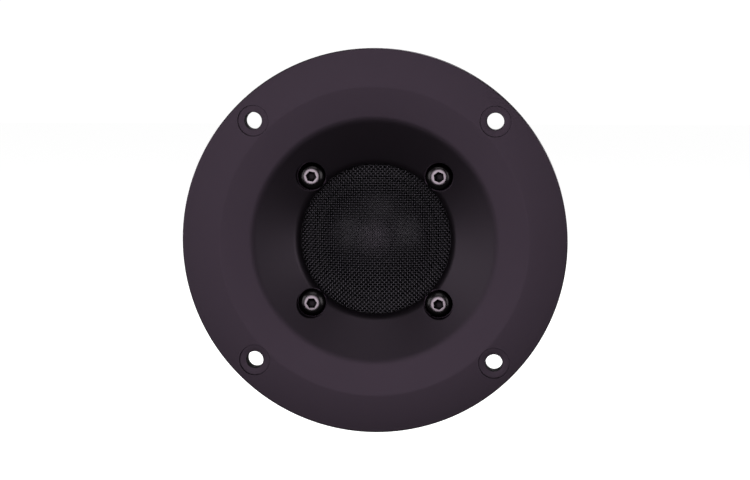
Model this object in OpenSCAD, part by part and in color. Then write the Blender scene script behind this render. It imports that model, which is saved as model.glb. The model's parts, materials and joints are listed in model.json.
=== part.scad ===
// Dome tweeter with a round waveguide faceplate, built as an assembly.
//
// Each piece is drawn standing on its back, with local +Z towards the listener and z = 0 on the
// rear face of the flange. to_row() turns the whole tweeter so that its face looks along -Y with
// +Z up. All sizes are in millimetres.

/* [Faceplate] */
// Outer diameter of the flange
flange_od = 104; // [96:1:140]
// Thickness of the flange at its rim
flange_t = 5; // [4.5:0.5:8]
// Width of the flat rim, from the flange's edge to the waveguide's mouth
rim_w = 10.2; // [9:0.2:12]
// Rounding of the flange's front edge
flange_edge_r = 0.3; // [0.2:0.1:1.5]
// Chamfer of the flange's rear edge
rear_chamfer = 0.4; // [0.2:0.1:1]
// Height of the boss behind the flange's rear face
boss_h = 5.5; // [5:0.5:8]
// Width of the boss outside the motor, which carries the terminal block
boss_margin = 6.2; // [6:0.1:8]

/* [Panel screws] */
// Number of panel screws
panel_screws = 4; // [3:1:8]
// Clearance hole for one M4 panel screw
panel_hole_d = 4.6; // [4.2:0.1:5]
// Shallow counterbore for the panel screw's head
panel_cbore_d = 8.2; // [7.6:0.1:9]
// Depth of that counterbore
panel_cbore_depth = 0.7; // [0.4:0.1:2]
// Distance from the flange's edge to the hole's axis
panel_edge = 6; // [5:0.1:7]
// Width of the flange gasket
flange_gasket_w = 3.6; // [2.5:0.1:5]
// Depth of the flange gasket's groove
flange_gasket_t = 1; // [0.6:0.1:1.5]

/* [Waveguide] */
// Width of the shallow cone inside the rim
shallow_w = 8.8; // [6:0.2:10]
// Drop of the shallow cone
shallow_drop = 0.9; // [0.4:0.1:1.6]
// Depth from the rim's face to the sharp corner of the throat, before its lip is rounded
guide_depth = 5.45; // [4:0.05:6]
// Distance from the surround's edge to the throat's wall
throat_margin = 0.6; // [0.4:0.1:4.8]
// Rounding where two cones meet
crease_r = 9; // [2:0.5:12]
// Rounding of the throat's lip
lip_r = 2.9; // [1.8:0.1:3.2]
// Depth from the rim's face to the grille's seat
seat_depth = 8; // [7.5:0.1:8.5]

/* [Grille] */
// Width of the grille's flat rim outside the throat
grille_rim_w = 1; // [0.8:0.1:1.2]
// Thickness of the woven wire cloth
grille_t = 0.5; // [0.4:0.05:0.6]
// Rise of the domed wire cloth above its rim
grille_rise = 4.6; // [4:0.1:5.5]

/* [Clamp screws] */
// Distance from the throat's wall to a clamp screw's pocket
pocket_gap = 0; // [0:0.1:1]
// Room around a clamp screw's head in its pocket
pocket_clear = 0.2; // [0.1:0.05:0.5]
// Depth from the rim's face to the pocket's floor
pocket_depth = 6.4; // [6:0.1:6.8]
// Thread diameter of an M4 button-head screw
clamp_d = 4; // [3:0.5:4]
// Clearance hole for that screw
clamp_clear_d = 4.4; // [4.2:0.1:4.6]
// Head diameter of that screw
clamp_head_d = 7.6; // [6:0.1:7.6]
// Head height of that screw
clamp_head_h = 2.2; // [1.6:0.1:2.4]
// Hexagon socket of that screw, across flats
clamp_hex = 2.5; // [2:0.5:3]

/* [Diaphragm] */
// Diameter of the dome at its edge
dome_d = 28.1; // [23:0.1:34]
// Height of the dome
dome_rise = 5.3; // [4:0.1:6]
// Thickness of the dome cloth
dome_t = 0.2; // [0.15:0.05:0.3]
// Width of the surround's half roll
roll_w = 3; // [2.4:0.1:3.2]
// Width of the surround's flat, glued edge
surround_land = 2.6; // [2:0.1:3]
// Thickness of the surround
surround_t = 0.2; // [0.15:0.05:0.3]
// Thickness of the coil former
former_t = 0.15; // [0.1:0.05:0.2]
// Thickness of the coil winding
coil_t = 0.45; // [0.3:0.05:0.5]
// Height of the coil winding
coil_h = 2.6; // [2:0.1:3.2]

/* [Carrier and gaskets] */
// Thickness of the diaphragm carrier
carrier_t = 1.5; // [1.2:0.1:2]
// Thickness of the gasket in front of the carrier
gasket_t = 0.5; // [0.3:0.1:0.8]

/* [Motor] */
// Distance from a clamp screw's axis to the top plate's edge
plate_margin = 7; // [5.5:0.1:9]
// Thickness of the top plate
top_plate_t = 4; // [4:0.5:6]
// Overhang of the magnet outside the top plate
magnet_over = 0.5; // [0:0.1:4]
// Set-back of the magnet's bore behind the coil's gap
magnet_set_back = 2.05; // [1.5:0.05:3]
// Thickness of the magnet
magnet_t = 13; // [10:0.5:16]
// Set-back of the back plate's edge from the top plate's edge
back_plate_under = 0.5; // [0:0.1:1]
// Thickness of the back plate
back_plate_t = 5; // [4.5:0.5:7]
// Running gap on each side of the coil
air_gap = 0.45; // [0.35:0.05:0.6]
// Thickness of the copper cap
cap_t = 0.3; // [0.2:0.05:0.5]
// Depth of the copper cap's skirt below the pole's face
cap_skirt = 5; // [3:0.5:6]
// Diameter of the pole's spigot in the back plate
spigot_d = 19; // [16:0.5:21]
// Diameter of the vent bore
vent_d = 8; // [6:0.5:10]
// Thickness of the felt ring on the pole
pole_felt_t = 1.5; // [1:0.1:1.6]

/* [Rear chamber] */
// Distance from the back plate's edge to the cup's flange
ear_inset = 0.8; // [0.5:0.1:1.5]
// Depth of the cup, behind its gasket
chamber_h = 12; // [9:0.5:16]
// Wall of the cup
chamber_wall = 1.6; // [1.2:0.1:2.4]
// Rounding of the cup's outer corner
chamber_r = 2.5; // [1:0.1:3]
// Thickness of the cup's flange
ear_t = 2; // [1.6:0.1:3]
// Width of the cup's flange
ear_w = 6.2; // [6:0.1:6.6]
// Thickness of the chamber's gasket
chamber_gasket_t = 0.8; // [0.5:0.1:1.2]
// Thickness of the felt in the cup
chamber_felt_t = 5; // [3:0.5:6]
// Thread diameter of a chamber screw
chamber_screw_d = 3; // [2.5:0.5:3]
// Depth of a chamber screw in the back plate
chamber_screw_grip = 3.2; // [2.5:0.1:4]

/* [Terminals] */
// Radial thickness of the terminal block
block_w = 5; // [5:0.1:5.4]
// Height of the terminal block behind the boss
block_h = 8; // [7:0.5:10]
// Half of the arc that the terminal block spans, in degrees
block_half = 22; // [20:1:26]
// Distance from the middle of the block to each blade
blade_x = 5; // [4.5:0.1:6]
// Width of the positive blade
blade_wide = 4.8; // [4.8:0.1:6.3]
// Width of the negative blade
blade_narrow = 2.8; // [2.8:0.1:3]
// Thickness of each blade
blade_t = 0.8; // [0.5:0.1:0.8]
// Length of each blade behind the block
blade_out = 7.5; // [6:0.5:9]
// Width of a solder tag
tag_w = 2.4; // [2:0.1:2.8]
// Thickness of a solder tag
tag_t = 0.3; // [0.2:0.05:0.4]
// Thread diameter of a terminal screw
block_screw_d = 2; // [1.6:0.1:2.2]

/* [Hidden] */

// Curves are fine enough for smooth faces, and a round face comes out as a true cylinder.
$fn = 96;
arc_steps = 6;
// A cut starts this far outside what it cuts.
eps = 0.5;

// Clearances between pieces that fit together
seat_clear = 0.1;
glue_gap = 0.02;
hole_clear = 0.2;
block_clear = 0.6;
edge_margin = 1.5;
screw_tip_gap = 0.1;
groove_wall = 0.5;
gasket_edge = 1.2;
// Steps of the moving system and the pole
surround_lip = 0.25;
former_tail = 0.2;
pole_proud = 0.2;
damper_inset = 2;
// The wire cloth's flat rim starts this far inside the throat's wall
cloth_lap = 0.9;

// A button head: its flat as a share of the hexagon, and its skirt and socket floor as shares
// of its height
head_flat = 0.7;
head_skirt = 0.18;
socket_floor = 0.4;
// The chamber screws' heads
chamber_head_d = 5.4;
chamber_head_h = 1.65;
chamber_hex = 2;
// The terminal screws: recess, head, grip in the boss, spare depth of their holes, and the
// angle from the block's end
block_recess = 1.2;
block_head_h = 1.1;
block_hex = 1.2;
block_grip = 3;
block_hole_spare = 1;
block_screw_inset = 4.2;
// The blades' chamfered tips and small holes, and the solder tags' inner ends
blade_tip = 0.8;
blade_hole_d = 1.3;
tag_inset = 0.5;

// Rounded edges
plate_edge_r = 0.3;
magnet_edge_r = 0.6;
magnet_bore_edge_r = 0.5;
back_edge_r = 0.8;
chamber_root_r = 0.6;
ear_edge_r = 0.5;
chamber_inner_r = 1;
// Insets of the chamber's gasket and felt
chamber_gasket_inset = 0.3;
felt_gap = 1.2;

// Radii across the face
flange_r = flange_od / 2;
mouth_r = flange_r - rim_w;
crease_at = mouth_r - shallow_w;
panel_at = flange_r - panel_edge;

// The stack along the axis, from the front to the back
pocket_z = flange_t - pocket_depth;
seat_z = flange_t - seat_depth;
boss_z = -boss_h;
carrier_z = boss_z - gasket_t;
top_z = carrier_z - carrier_t;
magnet_z = top_z - top_plate_t;
back_z = magnet_z - magnet_t;
chamber_gasket_z = back_z - back_plate_t;
chamber_z = chamber_gasket_z - chamber_gasket_t;

// The moving system
dome_r = dome_d / 2;
former_r = dome_r - former_t;
coil_r = dome_r + coil_t;
gap_r = coil_r + air_gap;
cap_r = former_r - air_gap;
pole_r = cap_r - cap_t;
pole_z = top_z + pole_proud;
coil_z = top_z - top_plate_t / 2 - coil_h / 2;
former_z = coil_z - former_tail;
roll_r = roll_w / 2;
roll_at = dome_r + surround_lip + roll_r;
surround_r = roll_at + roll_r + surround_land;
carrier_bore_r = roll_at + roll_r + seat_clear;

// The throat goes round the surround, and the clamp screws round the throat
throat_r = surround_r + throat_margin;
seat_r = throat_r + grille_rim_w + seat_clear;
pocket_r = clamp_head_d / 2 + pocket_clear;
clamp_at = throat_r + pocket_gap + pocket_r;
clamp_length = pocket_z - magnet_z - screw_tip_gap;

// The motor goes round the clamp screws
top_plate_r = clamp_at + plate_margin;
magnet_r = top_plate_r + magnet_over;
magnet_bore_r = gap_r + magnet_set_back;
back_plate_r = top_plate_r - back_plate_under;
carrier_r = top_plate_r - edge_margin;
motor_r = max(top_plate_r, magnet_r, back_plate_r);

// The boss holds the terminal block outside the widest part of the motor
boss_r = motor_r + boss_margin;
block_in_r = motor_r + block_clear;
block_mid_r = block_in_r + block_w / 2;
block_z = boss_z - block_h;

// The flange gasket lies between the boss and the panel holes
groove_out_r = panel_at - panel_hole_d / 2 - gasket_edge;
groove_in_r = max(boss_r + groove_wall, groove_out_r - flange_gasket_w);

// The chamber
ear_r = back_plate_r - ear_inset;
chamber_r_out = ear_r - ear_w;
ear_screw_at = ear_r - ear_w / 2;
chamber_floor_z = chamber_z - chamber_h;
chamber_screw_l = ear_t + chamber_gasket_t + chamber_screw_grip;

// The dowels and the flexible leads
dowel_r = 1.25;
dowel_at = carrier_r - 2 * dowel_r;
dowel_grip = 2;
wire_r = 0.15;
wire_loop_r = 0.75;
wire_tail = 1.4;
wire_gap = 0.05;

// An outline whose corners [x, y, r] are rounded with the radius r, as short chords of an arc
function rounded(pts) = [
    for (i = [0 : len(pts) - 1])
        let (
            p = [pts[i][0], pts[i][1]],
            last = pts[(i + len(pts) - 1) % len(pts)],
            next = pts[(i + 1) % len(pts)],
            a = [last[0], last[1]],
            b = [next[0], next[1]],
            r = pts[i][2]
        )
        each (r == 0 ? [p] : corner_arc(a, p, b, r))
];

// The arc of radius r that rounds the corner p between a and b
function corner_arc(a, p, b, r) =
    let (
        u = (a - p) / norm(a - p),
        v = (b - p) / norm(b - p),
        half = acos(u * v) / 2,
        reach = r / tan(half),
        mid = p + (u + v) / norm(u + v) * r / sin(half),
        from = p + u * reach - mid,
        to = p + v * reach - mid,
        start = atan2(from[1], from[0]),
        turn = (atan2(to[1], to[0]) - start + 540) % 360 - 180
    )
    [for (k = [0 : arc_steps]) mid + r * [cos(start + turn * k / arc_steps),
                                          sin(start + turn * k / arc_steps)]];

// The front surface of a dome: radius, for an edge radius and a rise
function cap_radius(edge, rise) = (edge * edge + rise * rise) / (2 * rise);

// Turns a piece that stands on its back so that its face looks along -Y, with +Z up
module to_row() {
    rotate([90, 0, 0]) children();
}

// Places children at n equal angles on a circle, from the angle first
module around(n, at, first = 0) {
    for (i = [0 : n - 1]) rotate(first + i * 360 / n) translate([at, 0, 0]) children();
}

// A ring between two radii, with its rear face at z
module ring(inner, outer, z, h) {
    rotate_extrude() translate([inner, z]) square([outer - inner, h]);
}

// A hole of radius r from z0 to z1
module bore(r, z0, z1) {
    translate([0, 0, z0]) cylinder(r = r, h = z1 - z0);
}

// A shell of even thickness under a spherical front, with its edge at the height z
module domed_shell(edge, rise, thick, z) {
    radius = cap_radius(edge, rise);
    centre = z + rise - radius;
    intersection() {
        difference() {
            translate([0, 0, centre]) sphere(r = radius);
            translate([0, 0, centre]) sphere(r = radius - thick);
        }
        bore(edge, z, z + rise + eps);
    }
}

// A button-head screw, head up, with its head's seat at z = 0
module button_screw(d, head_d, head_h, hex, length) {
    flat_r = hex * head_flat;
    difference() {
        union() {
            rotate_extrude()
                polygon([
                    [0, 0], [head_d / 2, 0], [head_d / 2, head_h * head_skirt],
                    for (k = [1 : arc_steps])
                        let (
                            t = 90 * k / arc_steps,
                            across = head_d / 2 - flat_r,
                            rise = head_h * (1 - head_skirt)
                        )
                        [flat_r + across * cos(t), head_h * head_skirt + rise * sin(t)],
                    [0, head_h]
                ]);
            bore(d / 2, -length, 0);
        }
        translate([0, 0, head_h * socket_floor])
            cylinder(r = hex / sqrt(3), h = head_h, $fn = 6);
    }
}

module faceplate() {
    color([0.10, 0.09, 0.10]) to_row()
    difference() {
        rotate_extrude() polygon(rounded([
            [flange_r, flange_t, flange_edge_r],
            [mouth_r, flange_t, crease_r],
            [crease_at, flange_t - shallow_drop, crease_r],
            [throat_r, flange_t - guide_depth, lip_r],
            [throat_r, seat_z, 0],
            [seat_r, seat_z, 0],
            [seat_r, boss_z, 0],
            [boss_r, boss_z, rear_chamfer],
            [boss_r, 0, 0],
            [groove_in_r, 0, 0],
            [groove_in_r, flange_gasket_t, 0],
            [groove_out_r, flange_gasket_t, 0],
            [groove_out_r, 0, 0],
            [flange_r, 0, rear_chamfer]
        ]));
        around(panel_screws, panel_at, 45) {
            bore(panel_hole_d / 2, -eps, flange_t + eps);
            bore(panel_cbore_d / 2, flange_t - panel_cbore_depth, flange_t + eps);
        }
        around(4, clamp_at, 45) {
            bore(clamp_clear_d / 2, boss_z - eps, flange_t);
            bore(pocket_r, pocket_z, flange_t + eps);
        }
        terminal_screw_places() bore(block_screw_d / 2, boss_z - eps, boss_z + block_grip + block_hole_spare);
    }
}

module grille_mesh() {
    color([0.12, 0.12, 0.13]) to_row() {
        union() {
            domed_shell(throat_r - seat_clear, grille_rise, grille_t, seat_z - grille_t);
            ring(throat_r - cloth_lap, throat_r + grille_rim_w, seat_z - grille_t, grille_t - glue_gap);
        }
    }
}

module grille_ring() {
    color([0.14, 0.14, 0.14]) to_row()
        ring(throat_r - seat_clear, throat_r + grille_rim_w, boss_z, seat_z - grille_t - boss_z);
}

module clamp_screws() {
    color("silver") to_row() around(4, clamp_at, 45) translate([0, 0, pocket_z])
        button_screw(clamp_d, clamp_head_d, clamp_head_h, clamp_hex, clamp_length);
}

module flange_gasket() {
    color([0.2, 0.2, 0.2]) to_row()
        ring(groove_in_r + seat_clear, groove_out_r - seat_clear, 0, flange_gasket_t);
}

module diaphragm_gasket() {
    color([0.25, 0.25, 0.25]) to_row() difference() {
        ring(surround_r + seat_clear, carrier_r, carrier_z, gasket_t);
        around(4, clamp_at, 45) bore(clamp_clear_d / 2, carrier_z - eps, boss_z + eps);
    }
}

module diaphragm_carrier() {
    color([0.15, 0.15, 0.17]) to_row() difference() {
        ring(carrier_bore_r, carrier_r, top_z, carrier_t);
        around(4, clamp_at, 45) bore(clamp_clear_d / 2, top_z - eps, carrier_z + eps);
        around(2, dowel_at) bore(dowel_r + glue_gap, top_z - eps, carrier_z + eps);
        for (side = [-1, 1])
            translate([side * blade_x - tag_w / 2 - seat_clear, -carrier_r - eps, carrier_z - tag_t])
                cube([tag_w + 2 * seat_clear, carrier_r + eps, tag_t + eps]);
    }
}

module surround() {
    mid_z = carrier_z + surround_t / 2;
    color([0.12, 0.12, 0.12]) to_row() rotate_extrude() {
        translate([dome_r + glue_gap, carrier_z]) square([surround_lip, surround_t]);
        translate([roll_at, mid_z]) intersection() {
            difference() {
                circle(r = roll_r + surround_t / 2);
                circle(r = roll_r - surround_t / 2);
            }
            translate([-roll_w, -surround_t / 2]) square([2 * roll_w, 2 * roll_w]);
        }
        translate([roll_at + roll_r - surround_t / 2, carrier_z])
            square([surround_land + surround_t / 2, surround_t]);
    }
}

module dome() {
    color([0.1, 0.1, 0.1]) to_row() domed_shell(dome_r, dome_rise, dome_t, carrier_z);
}

module coil_former() {
    color([0.75, 0.6, 0.3]) to_row() ring(former_r, dome_r, former_z, carrier_z - former_z);
}

module voice_coil() {
    color([0.72, 0.4, 0.2]) to_row() ring(dome_r, coil_r, coil_z, coil_h);
}

// One flexible lead: a half loop from the former's side, then straight under the solder tag
module lead_wire(side) {
    root_y = -sqrt(pow(dome_r + wire_r + wire_gap, 2) - pow(blade_x, 2)) - glue_gap;
    lead_z = carrier_z - tag_t - wire_r;
    to_row() translate([side * blade_x, root_y, lead_z]) {
        translate([0, -wire_loop_r, 0]) rotate([90, 0, -90])
            rotate_extrude(angle = 180) translate([wire_loop_r, 0]) circle(r = wire_r, $fn = 24);
        translate([0, -2 * wire_loop_r, 0]) rotate([90, 0, 0])
            cylinder(r = wire_r, h = wire_tail, $fn = 24);
    }
}

module lead_wire_positive() {
    color("orange") lead_wire(1);
}

module lead_wire_negative() {
    color("orange") lead_wire(-1);
}

// One flat strip in the carrier's groove, from under the surround to the blade
module solder_tag(side) {
    tip_y = -sqrt(pow(carrier_bore_r - tag_inset, 2) - pow(blade_x, 2));
    to_row() translate([side * blade_x - tag_w / 2, -block_mid_r - blade_t / 2, carrier_z - tag_t])
        cube([tag_w, block_mid_r + blade_t / 2 + tip_y, tag_t - glue_gap]);
}

module solder_tag_positive() {
    color("gold") solder_tag(1);
}

module solder_tag_negative() {
    color("gold") solder_tag(-1);
}

// The two places of the terminal block's screws
module terminal_screw_places() {
    for (side = [-1, 1])
        rotate(-90 + side * (block_half - block_screw_inset)) translate([block_mid_r, 0, 0]) children();
}

// The room that one blade takes through the block
module blade_slot(side, w) {
    translate([side * blade_x - w / 2 - glue_gap, -block_mid_r - blade_t / 2 - glue_gap, block_z - eps])
        cube([w + 2 * glue_gap, blade_t + 2 * glue_gap, block_h + 2 * eps]);
}

module terminal_block() {
    color([0.13, 0.13, 0.14]) to_row() difference() {
        rotate([0, 0, -90 - block_half])
            rotate_extrude(angle = 2 * block_half)
                translate([block_in_r, block_z]) square([block_w, block_h]);
        blade_slot(1, blade_wide);
        blade_slot(-1, blade_narrow);
        for (side = [-1, 1])
            translate([side * blade_x - tag_w / 2 - seat_clear, -block_mid_r - blade_t / 2 - seat_clear,
                       carrier_z - tag_t - glue_gap])
                cube([tag_w + 2 * seat_clear, block_w, carrier_t + gasket_t]);
        terminal_screw_places() {
            bore(block_screw_d / 2 + hole_clear / 2, block_z - eps, boss_z + eps);
            bore(block_screw_d, block_z - eps, block_z + block_recess);
        }
    }
}

// One blade, with a small hole and a chamfered tip
module blade(side, w) {
    top = carrier_z - tag_t;
    long = top - block_z + blade_out;
    to_row() translate([side * blade_x, -block_mid_r + blade_t / 2, top]) rotate([90, 0, 0])
        linear_extrude(blade_t) difference() {
            polygon([
                [-w / 2, 0], [-w / 2, blade_tip - long], [blade_tip - w / 2, -long],
                [w / 2 - blade_tip, -long], [w / 2, blade_tip - long], [w / 2, 0]
            ]);
            translate([0, blade_out / 2 - long]) circle(d = blade_hole_d, $fn = 32);
        }
}

module terminal_positive() {
    color("gold") blade(1, blade_wide);
}

module terminal_negative() {
    color("gold") blade(-1, blade_narrow);
}

module terminal_screws() {
    color("silver") to_row() terminal_screw_places()
        translate([0, 0, block_z + block_recess]) rotate([180, 0, 0])
            button_screw(block_screw_d - 2 * glue_gap, 2 * block_screw_d - hole_clear,
                         block_head_h, block_hex, block_h - block_recess + block_grip);
}

module locating_dowels() {
    color("silver") to_row() around(2, dowel_at) bore(dowel_r, top_z - dowel_grip, carrier_z - glue_gap);
}

module top_plate() {
    color([0.7, 0.7, 0.72]) to_row() difference() {
        rotate_extrude() polygon(rounded([
            [gap_r, magnet_z, 0], [top_plate_r, magnet_z, plate_edge_r],
            [top_plate_r, top_z, plate_edge_r], [gap_r, top_z, 0]
        ]));
        around(4, clamp_at, 45) bore(clamp_d / 2 + glue_gap, magnet_z - eps, top_z + eps);
        around(2, dowel_at) bore(dowel_r + glue_gap, top_z - dowel_grip - hole_clear, top_z + eps);
    }
}

module magnet_ring() {
    color([0.2, 0.2, 0.21]) to_row() rotate_extrude() polygon(rounded([
        [magnet_bore_r, back_z, magnet_bore_edge_r], [magnet_r, back_z, magnet_edge_r],
        [magnet_r, magnet_z, magnet_edge_r], [magnet_bore_r, magnet_z, magnet_bore_edge_r]
    ]));
}

module back_plate() {
    color([0.7, 0.7, 0.72]) to_row() difference() {
        rotate_extrude() polygon(rounded([
            [spigot_d / 2 + glue_gap, chamber_gasket_z, 0], [back_plate_r, chamber_gasket_z, back_edge_r],
            [back_plate_r, back_z, plate_edge_r], [spigot_d / 2 + glue_gap, back_z, 0]
        ]));
        around(4, ear_screw_at, 45)
            bore(chamber_screw_d / 2 + glue_gap, chamber_gasket_z - eps, back_z + eps);
    }
}

module pole_piece() {
    color([0.62, 0.62, 0.64]) to_row() rotate_extrude() polygon([
        [vent_d / 2, chamber_gasket_z], [spigot_d / 2, chamber_gasket_z], [spigot_d / 2, back_z],
        [pole_r, back_z], [pole_r, pole_z - cap_t - glue_gap], [vent_d / 2, pole_z - cap_t - glue_gap]
    ]);
}

module pole_cap() {
    color([0.8, 0.45, 0.3]) to_row() {
        rotate_extrude() polygon([
            [vent_d / 2, pole_z - cap_t], [pole_r + glue_gap, pole_z - cap_t],
            [pole_r + glue_gap, pole_z - cap_skirt], [cap_r, pole_z - cap_skirt],
            [cap_r, pole_z], [vent_d / 2, pole_z]
        ]);
    }
}

module pole_damper() {
    color([0.45, 0.45, 0.42]) to_row() ring(vent_d / 2, former_r - damper_inset, pole_z, pole_felt_t);
}

module rear_chamber() {
    color([0.12, 0.12, 0.13]) to_row() difference() {
        rotate_extrude() polygon(rounded([
            [0, chamber_floor_z, 0],
            [chamber_r_out, chamber_floor_z, chamber_r],
            [chamber_r_out, chamber_z - ear_t, chamber_root_r],
            [ear_r, chamber_z - ear_t, ear_edge_r],
            [ear_r, chamber_z, 0],
            [chamber_r_out - chamber_wall, chamber_z, 0],
            [chamber_r_out - chamber_wall, chamber_floor_z + chamber_wall, chamber_inner_r],
            [0, chamber_floor_z + chamber_wall, 0]
        ]));
        around(4, ear_screw_at, 45)
            bore(chamber_screw_d / 2 + hole_clear, chamber_z - ear_t - eps, chamber_z + eps);
    }
}

module chamber_gasket() {
    color([0.22, 0.22, 0.22]) to_row() difference() {
        ring(chamber_r_out - chamber_wall, ear_r - chamber_gasket_inset, chamber_z, chamber_gasket_t);
        around(4, ear_screw_at, 45)
            bore(chamber_screw_d / 2 + hole_clear, chamber_z - eps, chamber_gasket_z + eps);
    }
}

module chamber_felt() {
    color([0.5, 0.5, 0.46]) to_row()
        bore(chamber_r_out - chamber_wall - felt_gap, chamber_floor_z + chamber_wall,
             chamber_floor_z + chamber_wall + chamber_felt_t);
}

module chamber_screws() {
    color("silver") to_row() around(4, ear_screw_at, 45)
        translate([0, 0, chamber_z - ear_t]) rotate([180, 0, 0])
            button_screw(chamber_screw_d, chamber_head_d, chamber_head_h, chamber_hex, chamber_screw_l);
}

faceplate();
grille_mesh();
grille_ring();
clamp_screws();
flange_gasket();
diaphragm_gasket();
diaphragm_carrier();
surround();
dome();
coil_former();
voice_coil();
lead_wire_positive();
lead_wire_negative();
solder_tag_positive();
solder_tag_negative();
terminal_block();
terminal_positive();
terminal_negative();
terminal_screws();
locating_dowels();
top_plate();
magnet_ring();
back_plate();
pole_piece();
pole_cap();
pole_damper();
rear_chamber();
chamber_gasket();
chamber_felt();
chamber_screws();
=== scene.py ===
"""Looks of a dome tweeter with a round waveguide faceplate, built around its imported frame.

The tweeter's face looks along -Y, with +Z up, and the flange's rear face is the plane y = 0. Most
pieces are turned: their outlines are drawn as points (radius, height), where the height is counted
along the axis towards the listener, and are swept round the axis. All lengths are in metres.
"""

import json
import logging
import math
from dataclasses import dataclass, field
from enum import Enum
from typing import Callable, Iterable, Sequence

import bmesh
import bpy
import numpy as np
from mathutils import Matrix, Vector


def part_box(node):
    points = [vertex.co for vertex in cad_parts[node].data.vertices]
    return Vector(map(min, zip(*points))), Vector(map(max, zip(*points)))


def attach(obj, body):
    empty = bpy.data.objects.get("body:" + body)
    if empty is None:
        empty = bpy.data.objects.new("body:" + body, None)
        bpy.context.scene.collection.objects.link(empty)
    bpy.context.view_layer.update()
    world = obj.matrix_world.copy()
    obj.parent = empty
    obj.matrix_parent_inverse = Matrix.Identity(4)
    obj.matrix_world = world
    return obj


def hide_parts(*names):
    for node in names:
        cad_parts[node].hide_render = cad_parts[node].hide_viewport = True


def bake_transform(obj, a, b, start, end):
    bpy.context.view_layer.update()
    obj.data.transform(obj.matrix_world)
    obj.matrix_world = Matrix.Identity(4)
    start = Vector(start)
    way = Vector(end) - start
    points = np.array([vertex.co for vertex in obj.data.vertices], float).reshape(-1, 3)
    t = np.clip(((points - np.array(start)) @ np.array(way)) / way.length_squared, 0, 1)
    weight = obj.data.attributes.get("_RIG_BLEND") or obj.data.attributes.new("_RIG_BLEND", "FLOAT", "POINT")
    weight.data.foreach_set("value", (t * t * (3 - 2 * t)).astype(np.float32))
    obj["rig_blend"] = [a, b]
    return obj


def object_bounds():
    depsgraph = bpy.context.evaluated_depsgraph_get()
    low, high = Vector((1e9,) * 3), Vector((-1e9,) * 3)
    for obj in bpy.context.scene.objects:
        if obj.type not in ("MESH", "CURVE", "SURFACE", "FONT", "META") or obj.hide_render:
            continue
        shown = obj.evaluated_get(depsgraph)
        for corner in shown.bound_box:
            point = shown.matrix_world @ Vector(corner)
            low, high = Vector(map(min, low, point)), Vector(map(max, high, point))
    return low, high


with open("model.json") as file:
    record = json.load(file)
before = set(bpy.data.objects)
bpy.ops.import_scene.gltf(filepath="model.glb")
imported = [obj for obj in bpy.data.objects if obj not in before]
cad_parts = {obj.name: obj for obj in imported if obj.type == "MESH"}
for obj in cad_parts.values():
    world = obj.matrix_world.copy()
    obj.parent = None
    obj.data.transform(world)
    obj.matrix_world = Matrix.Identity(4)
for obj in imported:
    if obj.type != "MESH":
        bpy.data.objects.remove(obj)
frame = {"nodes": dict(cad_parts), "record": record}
CAD_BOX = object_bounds()

LOG = logging.getLogger("tweeter")
MM = 0.001
HOUSING = "housing"
DIAPHRAGM = "diaphragm"
SMOOTH_ANGLE = math.radians(32.0)
# The point attribute that mixes painted shade into a screw's colour: inside its socket, and on its head's
# dome round the flat, which stays bright as a painted highlight ring.
PAINTED_SHADE = "socket_shade"
QUARTERS = (45.0, 135.0, 225.0, 315.0)  # the angles of every set of four holes
CUT_PAST = 1.0 * MM  # how far a cut runs past the face that it opens through
ON_AXIS = 1e-6  # a smaller radius counts as none
SEAM = 1e-7  # drawn vertices this close are one
COPIED_SEAM = 1e-6  # and so are vertices of the frame's own meshes
CUT_SEAM = 2e-6  # and vertices that a boolean leaves
SAME_WAY = 0.98  # the cosine above which a face and a chord face the same way
ON_OUTLINE = 0.006 * MM  # how near its outline a turned face's middle is
ON_WALL = 0.004 * MM  # how near a pocket's wall its vertices are
WIRE_SIDES = 6
COIL_CHORDS = 48

Point = tuple[float, float]
Colour = tuple[float, float, float]


# ---- Sizes read from the frame ----


@dataclass(frozen=True)
class Span:
    """Where a node stands: its widest radius, and its front and back along the axis."""

    radius: float
    front: float
    back: float


def span(node: str) -> Span:
    """Measures a node of the frame.

    Args:
        node: The node's name.

    Returns:
        Its span, with the front towards the listener.
    """
    low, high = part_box(node)
    return Span(radius=max(high.x, -low.x), front=-low.y, back=-high.y)


# ---- Outlines ----


@dataclass(frozen=True)
class Corner:
    """A corner of a turned outline, with the radius that rounds it."""

    r: float
    z: float
    round: float = 0.0


def corner_arc(before: Corner, at: Corner, after: Corner, steps: int) -> list[Point]:
    """Rounds one corner of an outline.

    Args:
        before: The corner before it.
        at: The corner to round.
        after: The corner after it.
        steps: How many chords the arc has.

    Returns:
        The points of the arc, or the corner itself where it isn't rounded.
    """
    if at.round <= 0.0:
        return [(at.r, at.z)]
    p = Vector((at.r, at.z))
    u = (Vector((before.r, before.z)) - p).normalized()
    v = (Vector((after.r, after.z)) - p).normalized()
    half = u.angle(v) / 2
    middle = p + (u + v).normalized() * at.round / math.sin(half)
    reach = at.round / math.tan(half)
    first, last = p + u * reach - middle, p + v * reach - middle
    start = math.atan2(first.y, first.x)
    turn = (math.atan2(last.y, last.x) - start + 3 * math.pi) % (2 * math.pi) - math.pi
    angles = [start + turn * k / steps for k in range(steps + 1)]
    return [(middle.x + at.round * math.cos(a), middle.y + at.round * math.sin(a)) for a in angles]


def rounded(corners: Sequence[Corner], steps: int = 8) -> list[Point]:
    """Rounds every corner of a closed outline.

    Args:
        corners: The corners, in order.
        steps: How many chords each arc has.

    Returns:
        The outline's points.
    """
    count = len(corners)
    points: list[Point] = []
    for i, corner in enumerate(corners):
        points += corner_arc(corners[i - 1], corner, corners[(i + 1) % count], steps)
    return points


def ring_outline(inner: float, outer: float, back: float, front: float, edge: float) -> list[Point]:
    """Draws the section of a flat ring with rounded edges.

    Args:
        inner: Its bore's radius.
        outer: Its outer radius.
        back: Its rear face.
        front: Its front face.
        edge: The rounding of its four edges.

    Returns:
        The outline's points.
    """
    return rounded(
        [
            Corner(inner, back, edge),
            Corner(outer, back, edge),
            Corner(outer, front, edge),
            Corner(inner, front, edge),
        ],
        steps=4,
    )


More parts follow.
